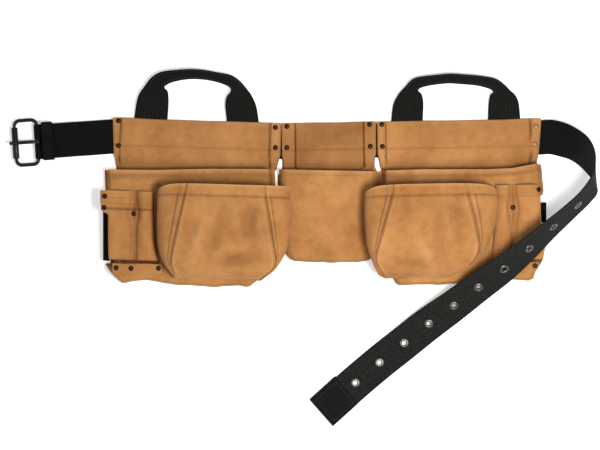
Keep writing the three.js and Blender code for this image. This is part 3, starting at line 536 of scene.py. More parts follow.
def belt_stations():
    """The belt's middle line and its width's direction, from the folded end to the last yoke."""
    rows = []
    wide = at_buckle(0, 1, 0) - at_buckle(0, 0, 0)
    for x, lift in ((49, 1), (30, 1), (10, 1), (7, 0.8), (3, 0)):
        rows.append((at_buckle(x, 0, low_layer + lift * keeper_wall), wide))
    fold = wire + seam_gap + web_wall / 2
    for turn in (-90, -120, -150, 180, 150, 120, 90):
        turn = math.radians(turn)
        rows.append((at_buckle(fold * math.cos(turn), 0, bar_height + fold * math.sin(turn)), wide))
    upper = low_layer + keeper_wall + web_wall + seam_gap
    for x, z in ((3, 8.3), (6, 7.5), (9, 6.6), (13, upper + 0.2), (17, upper), (50, upper), (62, 3.9), (78, 3.3)):
        rows.append((at_buckle(x, 0, z), wide))
    for key, stops in (("left", (-121, -60, 0, 60, 119)), ("middle", (-64, 0, 64)),
                       ("right", (114, 60, 0, -60, -117, -121.5))):
        for u in stops:
            rows.append((on_panel(key, u, -1.5, 3.3), on_panel(key, u, 0, 0) - on_panel(key, u, -1, 0)))
    return rows


# The tail, from the last yoke to its tip: x, y and z of its middle line, then the direction of its width.
tail_table = [
    (321, 4.4, 4.4, 2, 74, 4), (333, 1.6, 8, 6, 70, 14), (350, -5.7, 16, 8, 60, 34), (364.5, -18.7, 32, 8, 54, 43),
    (374.5, -40, 50, -4, 50, 48), (374.5, -62.4, 62, -19, 36, 57), (360, -83, 67, -26, 24, 61),
    (337.4, -104.7, 66, -28, 23, 60), (309.8, -130.1, 60, -27, 30, 56), (283.8, -154.2, 56, -32, 35, 50),
    (248.9, -184.2, 49, -36, 42, 40), (213, -211.6, 36, -38, 48, 31), (178.6, -239.4, 21, -39, 50, 22),
    (142, -267.3, 9, -40, 53, 10), (107.7, -295.2, 3.4, -41, 56, 2), (74.6, -321.5, 2.2, -41, 56, 0),
    (38.4, -352, 2.2, -42, 53, 0), (14, -374, 2.2, -43, 51, 0), (-10.1, -395.7, 2.2, -44, 50, 0),
]


def neighbours(rows, k):
    """Entries k and k + 1 of a list, with the ones before and after them."""
    last = len(rows) - 1
    return [rows[min(last, max(0, m))] for m in (k - 1, k, k + 1, k + 2)]


def smooth(a, b, c, d, share):
    """A point between b and c on the smooth curve through four points."""
    t2, t3 = share * share, share ** 3
    return 0.5 * (2 * b + (c - a) * share + (2 * a - 5 * b + 4 * c - d) * t2 + (3 * b - a - 3 * c + d) * t3)


def smooth_row(rows, k, share):
    """All the values of a table's row between entry k and the next."""
    return [smooth(*four, share) for four in zip(*neighbours(rows, k))]


def belt_line():
    fixed = belt_stations()
    tail = [(Vector((x, y, z)) / 1000, Vector((wx, wy, wz))) for x, y, z, wx, wy, wz in tail_table]
    out = []
    for (p0, w0), (p1, w1) in zip(fixed, fixed[1:]):
        parts = max(1, round((p1 - p0).length * 1000 / 9))
        out += [(p0.lerp(p1, k / parts), w0.normalized().lerp(w1.normalized(), k / parts)) for k in range(parts)]
    free = [(fixed[-1][0], fixed[-1][1])] + tail
    points = [p for p, w in free]
    widths = [w.normalized() for p, w in free]
    for k in range(len(free) - 1):
        parts = max(1, round((points[k + 1] - points[k]).length * 1000 / 5))
        for m in range(parts):
            out.append((smooth(*neighbours(points, k), m / parts), smooth(*neighbours(widths, k), m / parts)))
    out.append((points[-1], widths[-1]))
    return [(p, w.normalized()) for p, w in out]


belt = belt_line()
belt_run = [0.0]
for (p0, w0), (p1, w1) in zip(belt, belt[1:]):
    belt_run.append(belt_run[-1] + (p1 - p0).length * 1000)


def belt_point(run, across, rise):
    """A point of the belt at a run from its folded end, in mm: across is -1 to 1."""
    k = 0
    while k < len(belt) - 2 and belt_run[k + 1] < run:
        k += 1
    share = min(1, (run - belt_run[k]) / (belt_run[k + 1] - belt_run[k]))
    point = belt[k][0].lerp(belt[k + 1][0], share)
    width = belt[k][1].lerp(belt[k + 1][1], share).normalized()
    ahead = (belt[min(len(belt) - 1, k + 2)][0] - belt[max(0, k - 1)][0]).normalized()
    up = ahead.cross(width).normalized()
    return point + width * across * web_half / 1000 + up * rise / 1000, up


tip_fold = 50
tip_start = belt_run[-1] - tip_fold


def belt_sheet():
    stops = sorted(set(belt_run + [tip_start - 1, tip_start + 1]))
    columns = [-1, -0.97, -0.9, -0.7, -0.5, -0.3, -0.1, 0.1, 0.3, 0.5, 0.7, 0.9, 0.97, 1]

    def shape(across, run):
        edge = 0.3 * ease((abs(across) - 0.9) / 0.1)
        return belt_point(run, across, web_wall / 2 - edge)[0]

    return sewn_sheet("web_belt", columns, stops, shape, belt_skin, False, wall=web_wall, rim=0.3)


def standing(point, up):
    """The place of a small part that stands on a surface, with its axis along up."""
    return Matrix.Translation(point) @ up.to_track_quat("Z", "Y").to_matrix().to_4x4()


# The belt is punched for the tongue and the eyelets. The tongue's slot slants in, so that it ends
# close behind the bar in the lower layer and runs on under the keeper in the upper one.
web_belt = belt_sheet()
web_belt.modifiers.remove(web_belt.modifiers["soft"])
slot_wide, slot_front, slot_back_low, slot_back_high = 6.4, -9, 0, 22.4
punch_bm = bmesh.new()
for vert in bmesh.ops.create_cube(punch_bm, size=1)["verts"]:
    upper = vert.co.z > 0
    slot_end = (slot_back_high if upper else slot_back_low) if vert.co.x > 0 else slot_front
    vert.co = at_buckle(slot_end, vert.co.y * slot_wide, 12 if upper else -0.5)
eyelet_pitch, eyelet_count, last_eyelet = 45.6, 10, 66
eyelet_runs = [belt_run[-1] - last_eyelet - eyelet_pitch * (eyelet_count - 1 - k) for k in range(eyelet_count)]
for run in eyelet_runs:
    bmesh.ops.create_cone(punch_bm, cap_ends=True, segments=20, radius1=0.0046, radius2=0.0046,
                          depth=0.012, matrix=standing(*belt_point(run, 0, 0)))
punch_mesh = bpy.data.meshes.new("punch")
punch_bm.to_mesh(punch_mesh)
punch_bm.free()
punch = bpy.data.objects.new("punch", punch_mesh)
bpy.context.scene.collection.objects.link(punch)
holes = web_belt.modifiers.new("holes", "BOOLEAN")
holes.operation = "DIFFERENCE"
holes.solver = "EXACT"
holes.object = punch
bpy.context.view_layer.update()
cut_mesh = bpy.data.meshes.new_from_object(web_belt.evaluated_get(bpy.context.evaluated_depsgraph_get()))
web_belt.modifiers.clear()
web_belt.data = cut_mesh
bpy.data.objects.remove(punch)
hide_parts("belt_fold", "belt_web", "belt_tail")

# Folded tip of the tail: a second layer of the same web, turned back and sewn down over the end.
# It lies a little askew, so its side stands out past the web as a small step.
tip_skin = webbing("tip_web_skin", 50, 50, (0.0085, 0.009, 0.0075), (0.0022, 0.0022, 0.0017))
tip_runs = spread([tip_start, belt_run[-1] - 0.4], 5)
tip = sewn_sheet("tail_tip_fold", [-1.0, -0.96, -0.6, -0.2, 0.2, 0.6, 1.04, 1.08], tip_runs,
                 lambda across, run: belt_point(run, across, -2.0)[0], tip_skin, True, wall=0.95, rim=0.3)
web_thread = thread("web_thread", (0.012, 0.012, 0.011), (0.05, 0.05, 0.047))


def web_seam(run0, across0, run1, across1):
    parts = 12
    return [belt_point(run0 + (run1 - run0) * k / parts, across0 + (across1 - across0) * k / parts, -2.15)[0]
            for k in range(parts + 1)]


tip_low, tip_high = tip_start + 5, belt_run[-1] - 7
stitched("tail_tip_thread", [
    web_seam(tip_low, -0.8, tip_low, 0.8), web_seam(tip_high, -0.8, tip_high, 0.8),
    web_seam(tip_low, -0.8, tip_high, -0.8), web_seam(tip_low, 0.8, tip_high, 0.8),
], skin=web_thread)

# Keeper: a flat loop of stiff black web round both layers of the belt, next to the buckle.
# It is sewn into a ring and stands a little proud, so that the tail can be tucked under it.
loop_skin = webbing("loop_web_skin", 60, 50, (0.0058, 0.006, 0.005), (0.0018, 0.0018, 0.0014))


def closed(bm, capped=False):
    """Merges doubled points, caps the open ends if asked, and turns the faces outwards."""
    bmesh.ops.remove_doubles(bm, verts=bm.verts, dist=0.00001)
    if capped:
        bmesh.ops.holes_fill(bm, edges=[edge for edge in bm.edges if edge.is_boundary], sides=0)
    bmesh.ops.recalc_face_normals(bm, faces=bm.faces)


def ring_of_web(name, outline, ends, place, skin, wall):
    """A closed ring of web: outline is a list of (across, height), ends a list of stations."""
    bm = bmesh.new()
    bm.loops.layers.uv.new("cut")
    count = len(outline)
    bmesh.ops.create_grid(bm, x_segments=count, y_segments=len(ends) - 1, size=0.5, calc_uvs=True)
    for vert in bm.verts:
        around = round((vert.co.x + 0.5) * count) % count
        station = ends[round((vert.co.y + 0.5) * (len(ends) - 1))]
        vert.co = place(outline[around], station)
    closed(bm)
    piece = finished(name, bm, skin)
    thick = piece.modifiers.new("wall", "SOLIDIFY")
    thick.thickness = wall / 1000
    thick.offset = -1
    soft = piece.modifiers.new("soft", "BEVEL")
    soft.width = 0.0004
    soft.segments = 2
    soft.limit_method = "ANGLE"
    return piece


def rounded_box(half, low, high, round_off, steps=5):
    """The outline of a box with rounded corners, as (across, height) points."""
    out = []
    for side, level, start in ((1, high, 0), (-1, high, 90), (-1, low, 180), (1, low, 270)):
        cx, cz = side * (half - round_off), level - round_off if level == high else level + round_off
        for k in range(steps):
            turn = math.radians(start + 90 * k / (steps - 1))
            out.append((cx + round_off * math.cos(turn), cz + round_off * math.sin(turn)))
    return out


keeper_high = low_layer + keeper_wall + 3.3 + 6.8 + 1.7
keeper = ring_of_web("keeper_loop", rounded_box(27.5, 0.05, keeper_high, 2.2), [8, 10, 15, 20, 22.5],
                     lambda p, x: at_buckle(x, p[0], p[1]), loop_skin, 1.7)
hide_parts("belt_keeper")

# Carrying handles: black web on each end yoke, its feet sewn into the fold of the leather.
# The top of each loop is folded double lengthways and sewn into a narrow thick grip.
# Each row of a table: the outer edge and the inner edge, both across and up, then thickness and height.
handle_tables = {
    "left": [
        (-91.5, 24.3, -43.5, 24.3, 2, 3.4), (-91, 30, -43, 30, 2, 3.4), (-88.6, 50, -42.4, 48, 2, 4.2),
        (-84.8, 61.8, -43, 60, 2.4, 5), (-78, 72, -44.5, 67, 3.4, 6), (-68, 85.5, -49, 71.5, 5, 7),
        (-54, 93.8, -44, 76.5, 6, 8), (-34, 97, -31, 81.2, 6.4, 9), (-12, 99, -12, 84.4, 6.4, 10),
        (8, 98.3, 7, 84.3, 6.4, 10), (27, 95.6, 25, 81.8, 6.4, 9), (48, 92, 41, 77, 6, 8),
        (61, 83.5, 47, 72.5, 5, 7), (71, 72.5, 46, 67, 3.4, 6), (78.5, 62.5, 41.5, 61.5, 2.4, 5),
        (85, 48, 39.6, 50, 2, 4.2), (88.5, 30, 42, 30, 2, 3.4), (89.2, 24.3, 42.4, 24.3, 2, 3.4),
    ],
    "right": [
        (-89.4, 24.3, -42.4, 24.3, 2, 3.4), (-89, 30, -42.6, 30, 2, 3.4), (-87.4, 48.2, -43.4, 46, 2, 4.2),
        (-83, 59.4, -45, 57, 2.4, 5), (-75, 67, -46.5, 61.5, 3.4, 6), (-66.7, 75.5, -50.5, 65.5, 5, 7),
        (-54, 84.3, -44, 70, 6, 8), (-30, 89, -26, 74.8, 6.4, 9), (-6, 91.3, -4, 77, 6.4, 10),
        (12.3, 92.6, 12, 78.4, 6.4, 10), (32, 91.3, 29, 77.5, 6.4, 9), (52, 89.5, 44, 75.5, 6, 8),
        (66, 86, 54, 73, 5, 7), (78, 74, 58, 69, 3.4, 6), (87, 64, 53, 64, 2.4, 5),
        (94.3, 49.8, 50.6, 51, 2, 4.2), (97.2, 30, 51.6, 30, 2, 3.4), (97.6, 24.3, 52, 24.3, 2, 3.4),
    ],
}
handle_skin = webbing("handle_web_skin", 50, 330, (0.0085, 0.0088, 0.0074), (0.0034, 0.0034, 0.0028))


def handle_at(key, run, share):
    table = handle_tables[key]
    k = min(len(table) - 2, int(run))
    ou, ov, iu, iv, wall, lift = smooth_row(table, k, run - k)
    return ou + (iu - ou) * share, ov + (iv - ov) * share, wall, lift


def carrying_handle(key):
    count = (len(handle_tables[key]) - 1) * 4
    around = [(0, -1)] + [(s, -1) for s in (0.06, 0.2, 0.4, 0.6, 0.8, 0.94)] + [(1, -1), (1, 1)]
    around += [(s, 1) for s in (0.94, 0.8, 0.6, 0.4, 0.2, 0.06)] + [(0, 1)]
    bm = bmesh.new()
    bm.loops.layers.uv.new("cut")
    bmesh.ops.create_grid(bm, x_segments=len(around), y_segments=count, size=0.5, calc_uvs=True)
    for vert in bm.verts:
        share, side = around[round((vert.co.x + 0.5) * len(around)) % len(around)]
        u, v, wall, lift = handle_at(key, round((vert.co.y + 0.5) * count) / 4, share)
        edge = 1 - (0.42 if wall > 3 else 0.1) * ease(abs(share - 0.5) * 4 - 1)
        vert.co = on_panel(key, u, v, lift + side * wall * 0.5 * edge)
    closed(bm, capped=True)
    piece = finished(f"carrying_handle_{key}", bm, handle_skin)
    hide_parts(f"handle_{key}")
    seams = []
    for share in (0.16, 0.84):
        seams.append([on_panel(key, u, v, lift + wall * 0.5 + 0.1) for u, v, wall, lift in
                      (handle_at(key, 4.4 + k * 0.2, share) for k in range(44))])
    stitched(f"handle_thread_{key}", seams, skin=web_thread, pitch=3.6, long=2.4, girth=0.45)


for key in ("left", "right"):
    carrying_handle(key)

# Rear pockets: a wide suede sheet on each end panel and a smaller one in the middle.
# Each is sewn to its back panel down both sides and along the foot, and is open at its lip.
pocket_skin = suede("pocket_suede", (0.475, 0.225, 0.074), (0.31, 0.128, 0.037), 0.37)
plateau = {"left": 24, "middle": 20, "right": 24}
back_face = 4.3
edge_wall = [(0, 0), (3.4, 0), (5.2, 0.16), (6.8, 0.66), (9, 0.95), (14, 1)]
turned_wall = [(0, 0.1), (0.8, 0.32), (2, 0.6), (3.6, 0.83), (6, 0.95), (11, 1)]
pockets = {
    "left": {
        "top": -46, "bottom": -211,
        "outer": [(-211, -112), (-207, -122), (-202.5, -126.3), (-200, -126), (-198.4, -119.4), (-190, -119.3),
                  (-108, -122.1), (-97, -129), (-46, -132)],
        "inner": [(-214, 78), (-204, 98), (-178, 117), (-110, 118.5), (-46, 114.6)],
        "lip": [(-132, -50.2), (-54, -48.4), (16, -44.6), (118, -41.6)],
        "base": [(-124, -196), (-100, -214.4), (-88, -210.6), (-65, -207.8), (-30, -213.2), (28, -215.2),
                 (70, -212.4), (79, -214.2), (103, -204), (117, -194)],
    },
    "middle": {
        "top": -44, "bottom": -176,
        "outer": [(-176, -52), (-172.6, -59.4), (-166, -65.4), (-156, -67.6), (-44, -73)],
        "inner": [(-176, 53), (-172.6, 61), (-166, 67.2), (-156, 69.4), (-44, 71)],
        "lip": [(-75, -41.6), (71, -46.8)],
        "base": [(-66, -174.6), (-32, -176.8), (13, -178.4), (38, -177.6), (66, -174.4)],
    },
    "right": {
        "top": -46, "bottom": -209,
        "outer": [(-209, -104), (-200, -108), (-190, -117), (-164, -124.4), (-144, -124), (-138, -114.2),
                  (-95, -114.2), (-89, -121.6), (-68, -120), (-46, -118.6)],
        "inner": [(-213, 91), (-202, 103), (-178, 113), (-110, 116), (-46, 116.6)],
        "lip": [(-119, -41), (-111, -39.4), (-74, -45.7), (-38, -46.8), (53, -45.1), (118, -45.8)],
        "base": [(-124, -198), (-104, -206), (-97, -208.8), (-71, -206.6), (20, -212.2), (91, -212.6),
                 (103, -202), (113, -192)],
    },
}


def pocket_place(key, kind, d, share):
    """Panel place and height of a rear pocket: kind and d or a share across, then a share down or a foot margin."""
    spec = pockets[key]
    margin = share if share < 0 else None
    if margin is None:
        nominal = spec["top"] + (spec["bottom"] + 14 - spec["top"]) * share
    else:
        nominal = spec["bottom"] - margin
    left, right = along(spec["outer"], nominal), along(spec["inner"], nominal)
    side = 99
    if kind == "outer":
        u, side = left + d, d
    elif kind == "inner":
        u, side = right - d, d
    else:
        u = left + 14 + (right - left - 28) * d
    lip, low = along(spec["lip"], u), along(spec["base"], u)
    foot = 99
    if margin is not None:
        v, foot = low - margin, -margin
    else:
        v = lip + (low + 14 - lip) * share
    up = min(along(turned_wall if key == "middle" else edge_wall, side), along(turned_wall, foot))
    z = back_face + (plateau[key] - back_face) * up
    ripple = uneven(u * 0.03, v * 0.03, plateau[key] + len(key)) * 0.8
    wavy = uneven(u * 0.07, v * 0.02, 2.2) * 1.5 * max(0, 1 - min(side, foot) / 6)
    full_lip = 0.7 * line(v, lip, 5)
    return u, v + (wavy if foot < 10 else 0), z + (ripple - 0.4) * up + wavy * 0.35 + 0.4 + full_lip * up


def rear_pocket(key, node):
    walls = [0, 1.7, 3.4, 4.3, 5.2, 6, 6.8, 7.9, 9, 11.4, 14]
    inside = 40 if key != "middle" else 24
    columns = [("outer", d) for d in walls] + [("share", k / inside) for k in range(1, inside)]
    columns += [("inner", d) for d in reversed(walls)]
    rows = [k / 34 for k in range(34)] + [-max(d, 0.001) for d in reversed(walls)]

    def shape(column, row):
        u, v, z = pocket_place(key, column[0], column[1], row)
        return on_panel(key, u, v, max(z, back_face + 0.1))

    def tone(column, row):
        kind, d = column
        u, v, z = pocket_place(key, kind, d, row)
        lip = along(pockets[key]["lip"], u)
        # Painted highlight along the lip and painted shade in the hem line under it, with a second line on the left.
        out = 0.22 * line(v, lip, 2.2) - 0.35 * line(v - lip, -8.6, 0.9)
        if key == "left":
            out -= 0.3 * line(v - lip, -12.4, 0.9)
        # Painted shade where the sheet turns down at its sides and at its foot.
        if kind != "share":
            out -= 0.3 * line(d, 7, 2.2)
        if row < 0:
            out -= 0.25 * line(-row, 3, 1.5)
        if key != "middle":
            # Painted shade in the trough beside the pouch, and a painted shadow in the slit under the tool slots.
            out -= 0.7 * line(u, -52, 4.5) * ease((-62 - v) / 10) * ease((v + 198) / 10)
            out -= 1.3 * line(v, -181.6 if key == "left" else -179.4, 3.2) * ease((-44 - u) / 4)
        return out

    piece = sewn_sheet(f"rear_pocket_{key}_suede", columns, rows, shape, pocket_skin, panels[key]["side"] < 0,
                       tone=tone)
    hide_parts(node)


for key, node in (("left", "rear_pocket_left"), ("middle", "middle_pocket"), ("right", "rear_pocket_right")):
    rear_pocket(key, node)

# Front pouches: each is one shaped suede front with two sewn darts and a hemmed mouth.
# The front stands well off the rear pocket, and its soft folds come from use and packing.
pouch_rise = 42
pocket_face = 24.3
pouch_tables = {
    "left": [
        (-70, -33, -49.6, -9, 101, 137.5, 99, 1), (-84, -33, -49.8, -11.5, 103.4, 138.2, 99, 1.02),
        (-110, -33, -49.6, -16.6, 109, 138.3, 99, 1.04), (-135, -33, -48.8, -21.5, 114, 137.8, 99, 1.04),
        (-155, -32, -47.4, -25.4, 118, 136, 98, 1), (-170, -30, -43.6, -28, 121, 130, 96, 0.93),
        (-182, -27, -38, -28.4, 119, 122.4, 92, 0.83), (-191, -24, -31.4, -25, 110, 113.6, 87, 0.68),
        (-197.4, -21, -26.6, -22, 102, 105.4, 82, 0.5), (-200.6, -19.6, -23, -20, 98, 100.4, 80, 0.32),
        (-199.8, -18.6, -19.6, -16, 93, 96, 84, 0.14), (-196.4, -17, -15.6, -12, 88, 91, 93, 0),
    ],
    "right": [
        (-70, -29, -47.6, -2, 101, 138, 100, 1), (-84, -29, -48.8, -5.5, 102.6, 139.2, 100, 1.02),
        (-110, -28, -47.8, -12.4, 110.6, 140.2, 100, 1.04), (-135, -24, -42.6, -17.6, 118, 139.4, 100, 1.03),
        (-155, -17, -34, -20.6, 123.6, 137, 98, 0.98), (-170, -9, -24, -17, 127, 132.6, 96, 0.91),
        (-182, 0, -13.6, -8, 124, 128.4, 92, 0.81), (-190, 10, 0, 5, 118, 124.4, 87, 0.68),
        (-196, 19, 13, 17, 114, 121, 82, 0.5), (-199, 26, 21, 25, 110, 115, 80, 0.32),
        (-198.4, 29, 27.4, 30.5, 106, 110, 84, 0.14), (-195, 30, 32, 35, 102, 105, 107, 0),
    ],
}
pouch_folds = {
    "left": [(5, -158, 42, 9, 70, -3.2), (29, -148, 44, 10, 76, 3), (81, -114, 27, 9, 80, 4.2),
             (63, -173, 38, 10, 14, 4), (60, -110, 30, 10, 86, -1.6), (98, -140, 36, 7, 100, -1.8)],
    "right": [(12, -122, 38, 8, 80, 3.6), (38, -128, 46, 9, 88, 3), (60, -160, 40, 11, 60, -2.6),
              (86, -112, 40, 11, 96, 2.6), (70, -182, 36, 8, 10, 2.4)],
}


def dent(rows, u, v):
    """Depth of all folds at a place. A fold is its middle, half length, half width, turn and depth."""
    total = 0
    for cu, cv, half_long, half_wide, turn, depth in rows:
        turn = math.radians(turn)
        a = ((u - cu) * math.cos(turn) + (v - cv) * math.sin(turn)) / half_long
        b = ((v - cv) * math.cos(turn) - (u - cu) * math.sin(turn)) / half_wide
        total += depth * math.exp(-(a * a + b * b) * 1.2)
    return total


def pouch_section(row):
    """The points of a pouch's front across one level, from its outer foot over both darts to its inner foot."""
    v, foot_out, side_out, dart_out, dart_in, side_in, foot_in, rise = row
    h = pouch_rise * rise
    tuck = min(1, h / 20)
    mid = (dart_out + dart_in) / 2
    return [
        Vector((foot_out, 0)), Vector((side_out + 1.6 * tuck, 0.26 * h)), Vector((side_out, 0.52 * h)),
        Vector(((side_out * 2 + dart_out) / 3, 0.8 * h)), Vector((dart_out, 0.93 * h)),
        Vector(((dart_out + mid) / 2, 0.985 * h)), Vector((mid, h)), Vector(((dart_in + mid) / 2, 0.985 * h)),
        Vector((dart_in, 0.93 * h)), Vector(((side_in * 2 + dart_in) / 3, 0.8 * h)), Vector((side_in, 0.52 * h)),
        Vector((side_in - 2.4 * tuck, 0.3 * h)), Vector((foot_in, 0)),
    ]


def centripetal(points, s):
    """A point on the centripetal curve through a list of points, s counting them."""
    k = min(len(points) - 2, int(s))
    w = s - k
    p1, p2 = points[k], points[k + 1]
    p0 = points[k - 1] if k > 0 else p1 * 2 - p2
    p3 = points[k + 2] if k + 2 < len(points) else p2 * 2 - p1
    d0, d1, d2 = (max(1e-4, (b - a).length ** 0.5) for a, b in ((p0, p1), (p1, p2), (p2, p3)))
    t1 = ((p1 - p0) / d0 - (p2 - p0) / (d0 + d1) + (p2 - p1) / d1) * d1
    t2 = ((p2 - p1) / d1 - (p3 - p1) / (d1 + d2) + (p3 - p2) / d2) * d1
    return p1 + t1 * w + (p2 * 3 - p1 * 3 - t1 * 2 - t2) * w * w + (p1 * 2 - p2 * 2 + t1 + t2) * w ** 3


pouch_sections = {key: [(row, pouch_section(row)) for row in pouch_tables[key]] for key in pouch_tables}
darts, dart_backs = (4, 8), (3.66, 8.3)


def from_nearest(at, places):
    return min(abs(at - place) for place in places)


def pouch_place(key, s, run):
    """Panel place and height of a pouch front: s is 0 to 12 across it, run is 0 to 11 down it."""
    stations = pouch_sections[key]
    k = min(len(stations) - 2, int(run))
    share = run - k
    near = neighbours(stations, k)
    points = [centripetal(section, s) for row, section in near]
    u = smooth(*(p.x for p in points), share)
    y = smooth(*(p.y for p in points), share)
    v = smooth(*(row[0] for row, section in near), share)
    h = max(1, pouch_rise * smooth(*(row[7] for row, section in near), share))
    front = max(0, min(1, (y / h - 0.5) * 2.5))
    fade = ease((7.6 - run) / 2)
    dart = from_nearest(s, darts)
    bite = 2.2 * front * line(dart, 0, 0.06) - 0.7 * front * line(dart, 0.16, 0.08)
    bite += 1.1 * front * line(from_nearest(s, dart_backs), 0, 0.05) * ease((run - 0.8) / 0.4)
    fold = 1.1 * front * fade * uneven(u * 0.035, v * 0.014, 1.7 if key == "left" else 8.4)
    crease = 0.5 * front * fade * uneven(u * 0.09, v * 0.05, 5.5)
    hem = 0.5 * front * line(v, -85, 1.5) if run < 3 else 0
    lean = 11 * ease((y / h - 0.4) / 0.6) - 8
    if key == "left" and s > 6:
        lean += (7 * ease((y / h - 0.15) / 0.6) - 3.6 - lean) * ease((s - 6.6) / 1.6)
    lean *= 1 - ease(run / 1.4)
    lip = 0.6 * front * line(run, 0, 0.16)
    swell = y - bite - dent(pouch_folds[key], u, v) * 1.7 * front + fold + crease - hem + lip
    return u, v + lean, pocket_face + max(0, swell)


def pouch(key):
    columns = [k / 6 for k in range(73)]
    columns += [s + d for s in darts for d in (-0.24, -0.12, -0.07, -0.035, 0.035, 0.07, 0.12, 0.24)]
    columns += [s + d for s in dart_backs for d in (-0.07, -0.035, 0.0, 0.04, 0.08)]
    rows = [0, 0.03, 0.08] + [k / 7 for k in range(1, 78)]

    def tone(s, run):
        u, v, z = pouch_place(key, s, run)
        dart = from_nearest(s, darts)
        fade = ease((8.2 - run) / 1.2) * ease((run - 0.6) / 0.6)
        # Painted shade in the darts and their back seams, and painted highlight on the ridges beside the darts.
        out = -0.6 * line(dart, 0, 0.035) * fade + 0.14 * line(dart, 0.16, 0.07) * fade
        out -= 0.4 * line(from_nearest(s, dart_backs), 0, 0.04) * fade
        # Painted highlight on the lip, and painted shade in the hem line under it and down both flanks.
        out += 0.3 * line(run, 0, 0.25) - 0.42 * line(run, 1, 0.09)
        out -= 0.3 * max(0, 1 - s / 1.5) + 0.3 * max(0, 1 - (12 - s) / 1.5)
        # Painted shade in the dents of the folds and painted highlight on their ridges.
        depth = dent(pouch_folds[key], u, v)
        return out - 0.08 * max(0, depth) + 0.05 * max(0, -depth)

    piece = sewn_sheet(f"front_pouch_{key}", sorted(set(columns)), rows,
                       lambda s, run: on_panel(key, *pouch_place(key, s, run)), pocket_skin, panels[key]["side"] < 0,
                       tone=tone)
    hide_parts(f"pouch_{key}")


for key in ("left", "right"):
    pouch(key)
    seams = [[on_panel(key, *pouch_place(key, s + side, 1.05 + k * 0.1)) + thread_lift for k in range(52)]
             for s in darts for side in (-0.13, 0.13)]
    seams.append([on_panel(key, *pouch_place(key, 1.2 + 9.6 * k / 96, 1.0)) + thread_lift for k in range(97)])
    stitched(f"pouch_thread_{key}", seams)

# Tool pockets: one suede strip on the outer side of each bag, sewn down its middle into two slots.
# Both slots are open at the top and at the foot, over a narrow band sewn across the bottom.
slot_rise = 11
tool_tables = {
    "left": [
        (-80, -114, -133.6, -84.6, 2, -58, 0.92), (-94, -114, -133.4, -84.6, 2.6, -58, 1),
        (-109.4, -111, -131.6, -84.6, 5.4, -57, 1.04), (-114.4, -108, -121.6, -84.6, 5.4, -56.5, 1.04),
        (-130, -107, -121, -83.4, 2, -55.5, 1.04), (-150, -107, -120.4, -83, 2, -54, 1),
        (-170, -107, -119.4, -82.6, 2, -50, 0.9), (-179.6, -107, -118.4, -82.6, 2, -47, 0.82),
    ],
    "right": [
        (-70, -104, -110, -73.4, 2, -48, 0.92), (-88, -102, -112.4, -73.4, 3, -48, 0.96),
        (-97, -102, -112.4, -73.4, 5.4, -47, 0.96), (-108, -102, -112.4, -73.4, 5.4, -47, 0.96),
        (-130, -103, -113.6, -73.5, 2, -46, 0.94), (-150, -105, -117, -73.5, 2, -44, 0.9),
        (-165, -105, -116.6, -73.5, 2, -42, 0.86), (-178, -104, -115, -73.5, 2, -40, 0.82),
    ],
}


def tool_place(key, s, run):
    """Panel place and height of a tool strip: s is 0 to 13 across both slots, run is 0 to 7 down it."""
    table = tool_tables[key]
    k = min(len(table) - 2, int(run))
    row = [a + (b - a) * (run - k) for a, b in zip(table[k], table[k + 1])]
    v, foot, side, seam, flat, end, rise = row
    h = slot_rise * rise
    wide, rest = seam - foot, end - seam
    section = [
        (foot, 0.5), (side + 2, 0.24 * h), (side, 0.56 * h), (side + 3, 0.84 * h), (foot + wide * 0.2, 0.98 * h),
        (foot + wide * 0.5, h), (seam - flat - 4, 0.7 * h), (seam - flat, 2), (seam + flat, 2),
        (seam + flat + 4, 0.7 * h), (seam + rest * 0.5, h), (end - 4.5, 0.74 * h), (end - 0.6, 0.36 * h), (end, 0.5),
    ]
    section = [Vector(p) for p in section]
    k = min(len(section) - 2, int(s))
    p = section[k].lerp(section[k + 1], s - k)
    if 0.5 < s < 12.5:
        p = p.lerp(centripetal(section, s), 0.75)
    hem = 0
    if key == "left":
        hem = 0.25 * (line(v, -91, 1.2) + line(v, -98, 1.2)) - 0.9 * ease((v + 107.4) / 1.4)
    ripple = 0.5 * uneven(p.x * 0.06, v * 0.03, 9.1)
    return p.x, v, pocket_face + max(0.5, p.y + (ripple - hem) * ease(p.y / 6))


# Painted shade lines across each tool strip, as place down it, width and depth; the last is a painted shadow in the
# slit at its foot.
tool_shade_lines = {
    "left": [(0.72, 0.06, 0.2), (1.28, 0.05, 0.2), (1.84, 0.07, 0.85), (7, 0.13, 1)],
    "right": [(0.9, 0.06, 0.4), (7, 0.1, 0.8)],
}


def tool_painted_light(key, s, run):
    # Painted highlight along the top edge, and painted shade in the hem lines, in the sewn middle and at both ends.
    out = 0.2 * line(run, 0, 0.1) - sum(deep * line(run, at, width) for at, width, deep in tool_shade_lines[key])
    return out - 0.45 * line(s, 7.5, 0.3) - 0.3 * max(0, 1 - s / 1.2) - 0.3 * max(0, 1 - (13 - s) / 1.2)


def tool_pocket(key):
    piece = sewn_sheet(f"tool_slots_{key}", [k / 4 for k in range(53)], [k / 5 for k in range(36)],
                       lambda s, run: on_panel(key, *tool_place(key, s, run)), pocket_skin, panels[key]["side"] < 0,
                       tone=lambda s, run: tool_painted_light(key, s, run))
    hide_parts(f"tool_pocket_{key}")


for key in ("left", "right"):
    tool_pocket(key)

# Bottom bands: a narrow strip of suede laid across the foot of each bag under the tool slots.
# It closes the slots' lower end, and small rivets hold it.
band_tables = {
    "left": [(-113.5, -184, -197), (-98, -184.4, -199), (-80, -183.4, -199.6), (-60, -183, -199),
             (-42, -184, -196.5)],
    "right": [(-108, -181, -191), (-98, -181, -194.4), (-80, -181, -195.4), (-60, -180.6, -194.6),
              (-34, -184, -192.5)],
}
band_face = 26.3


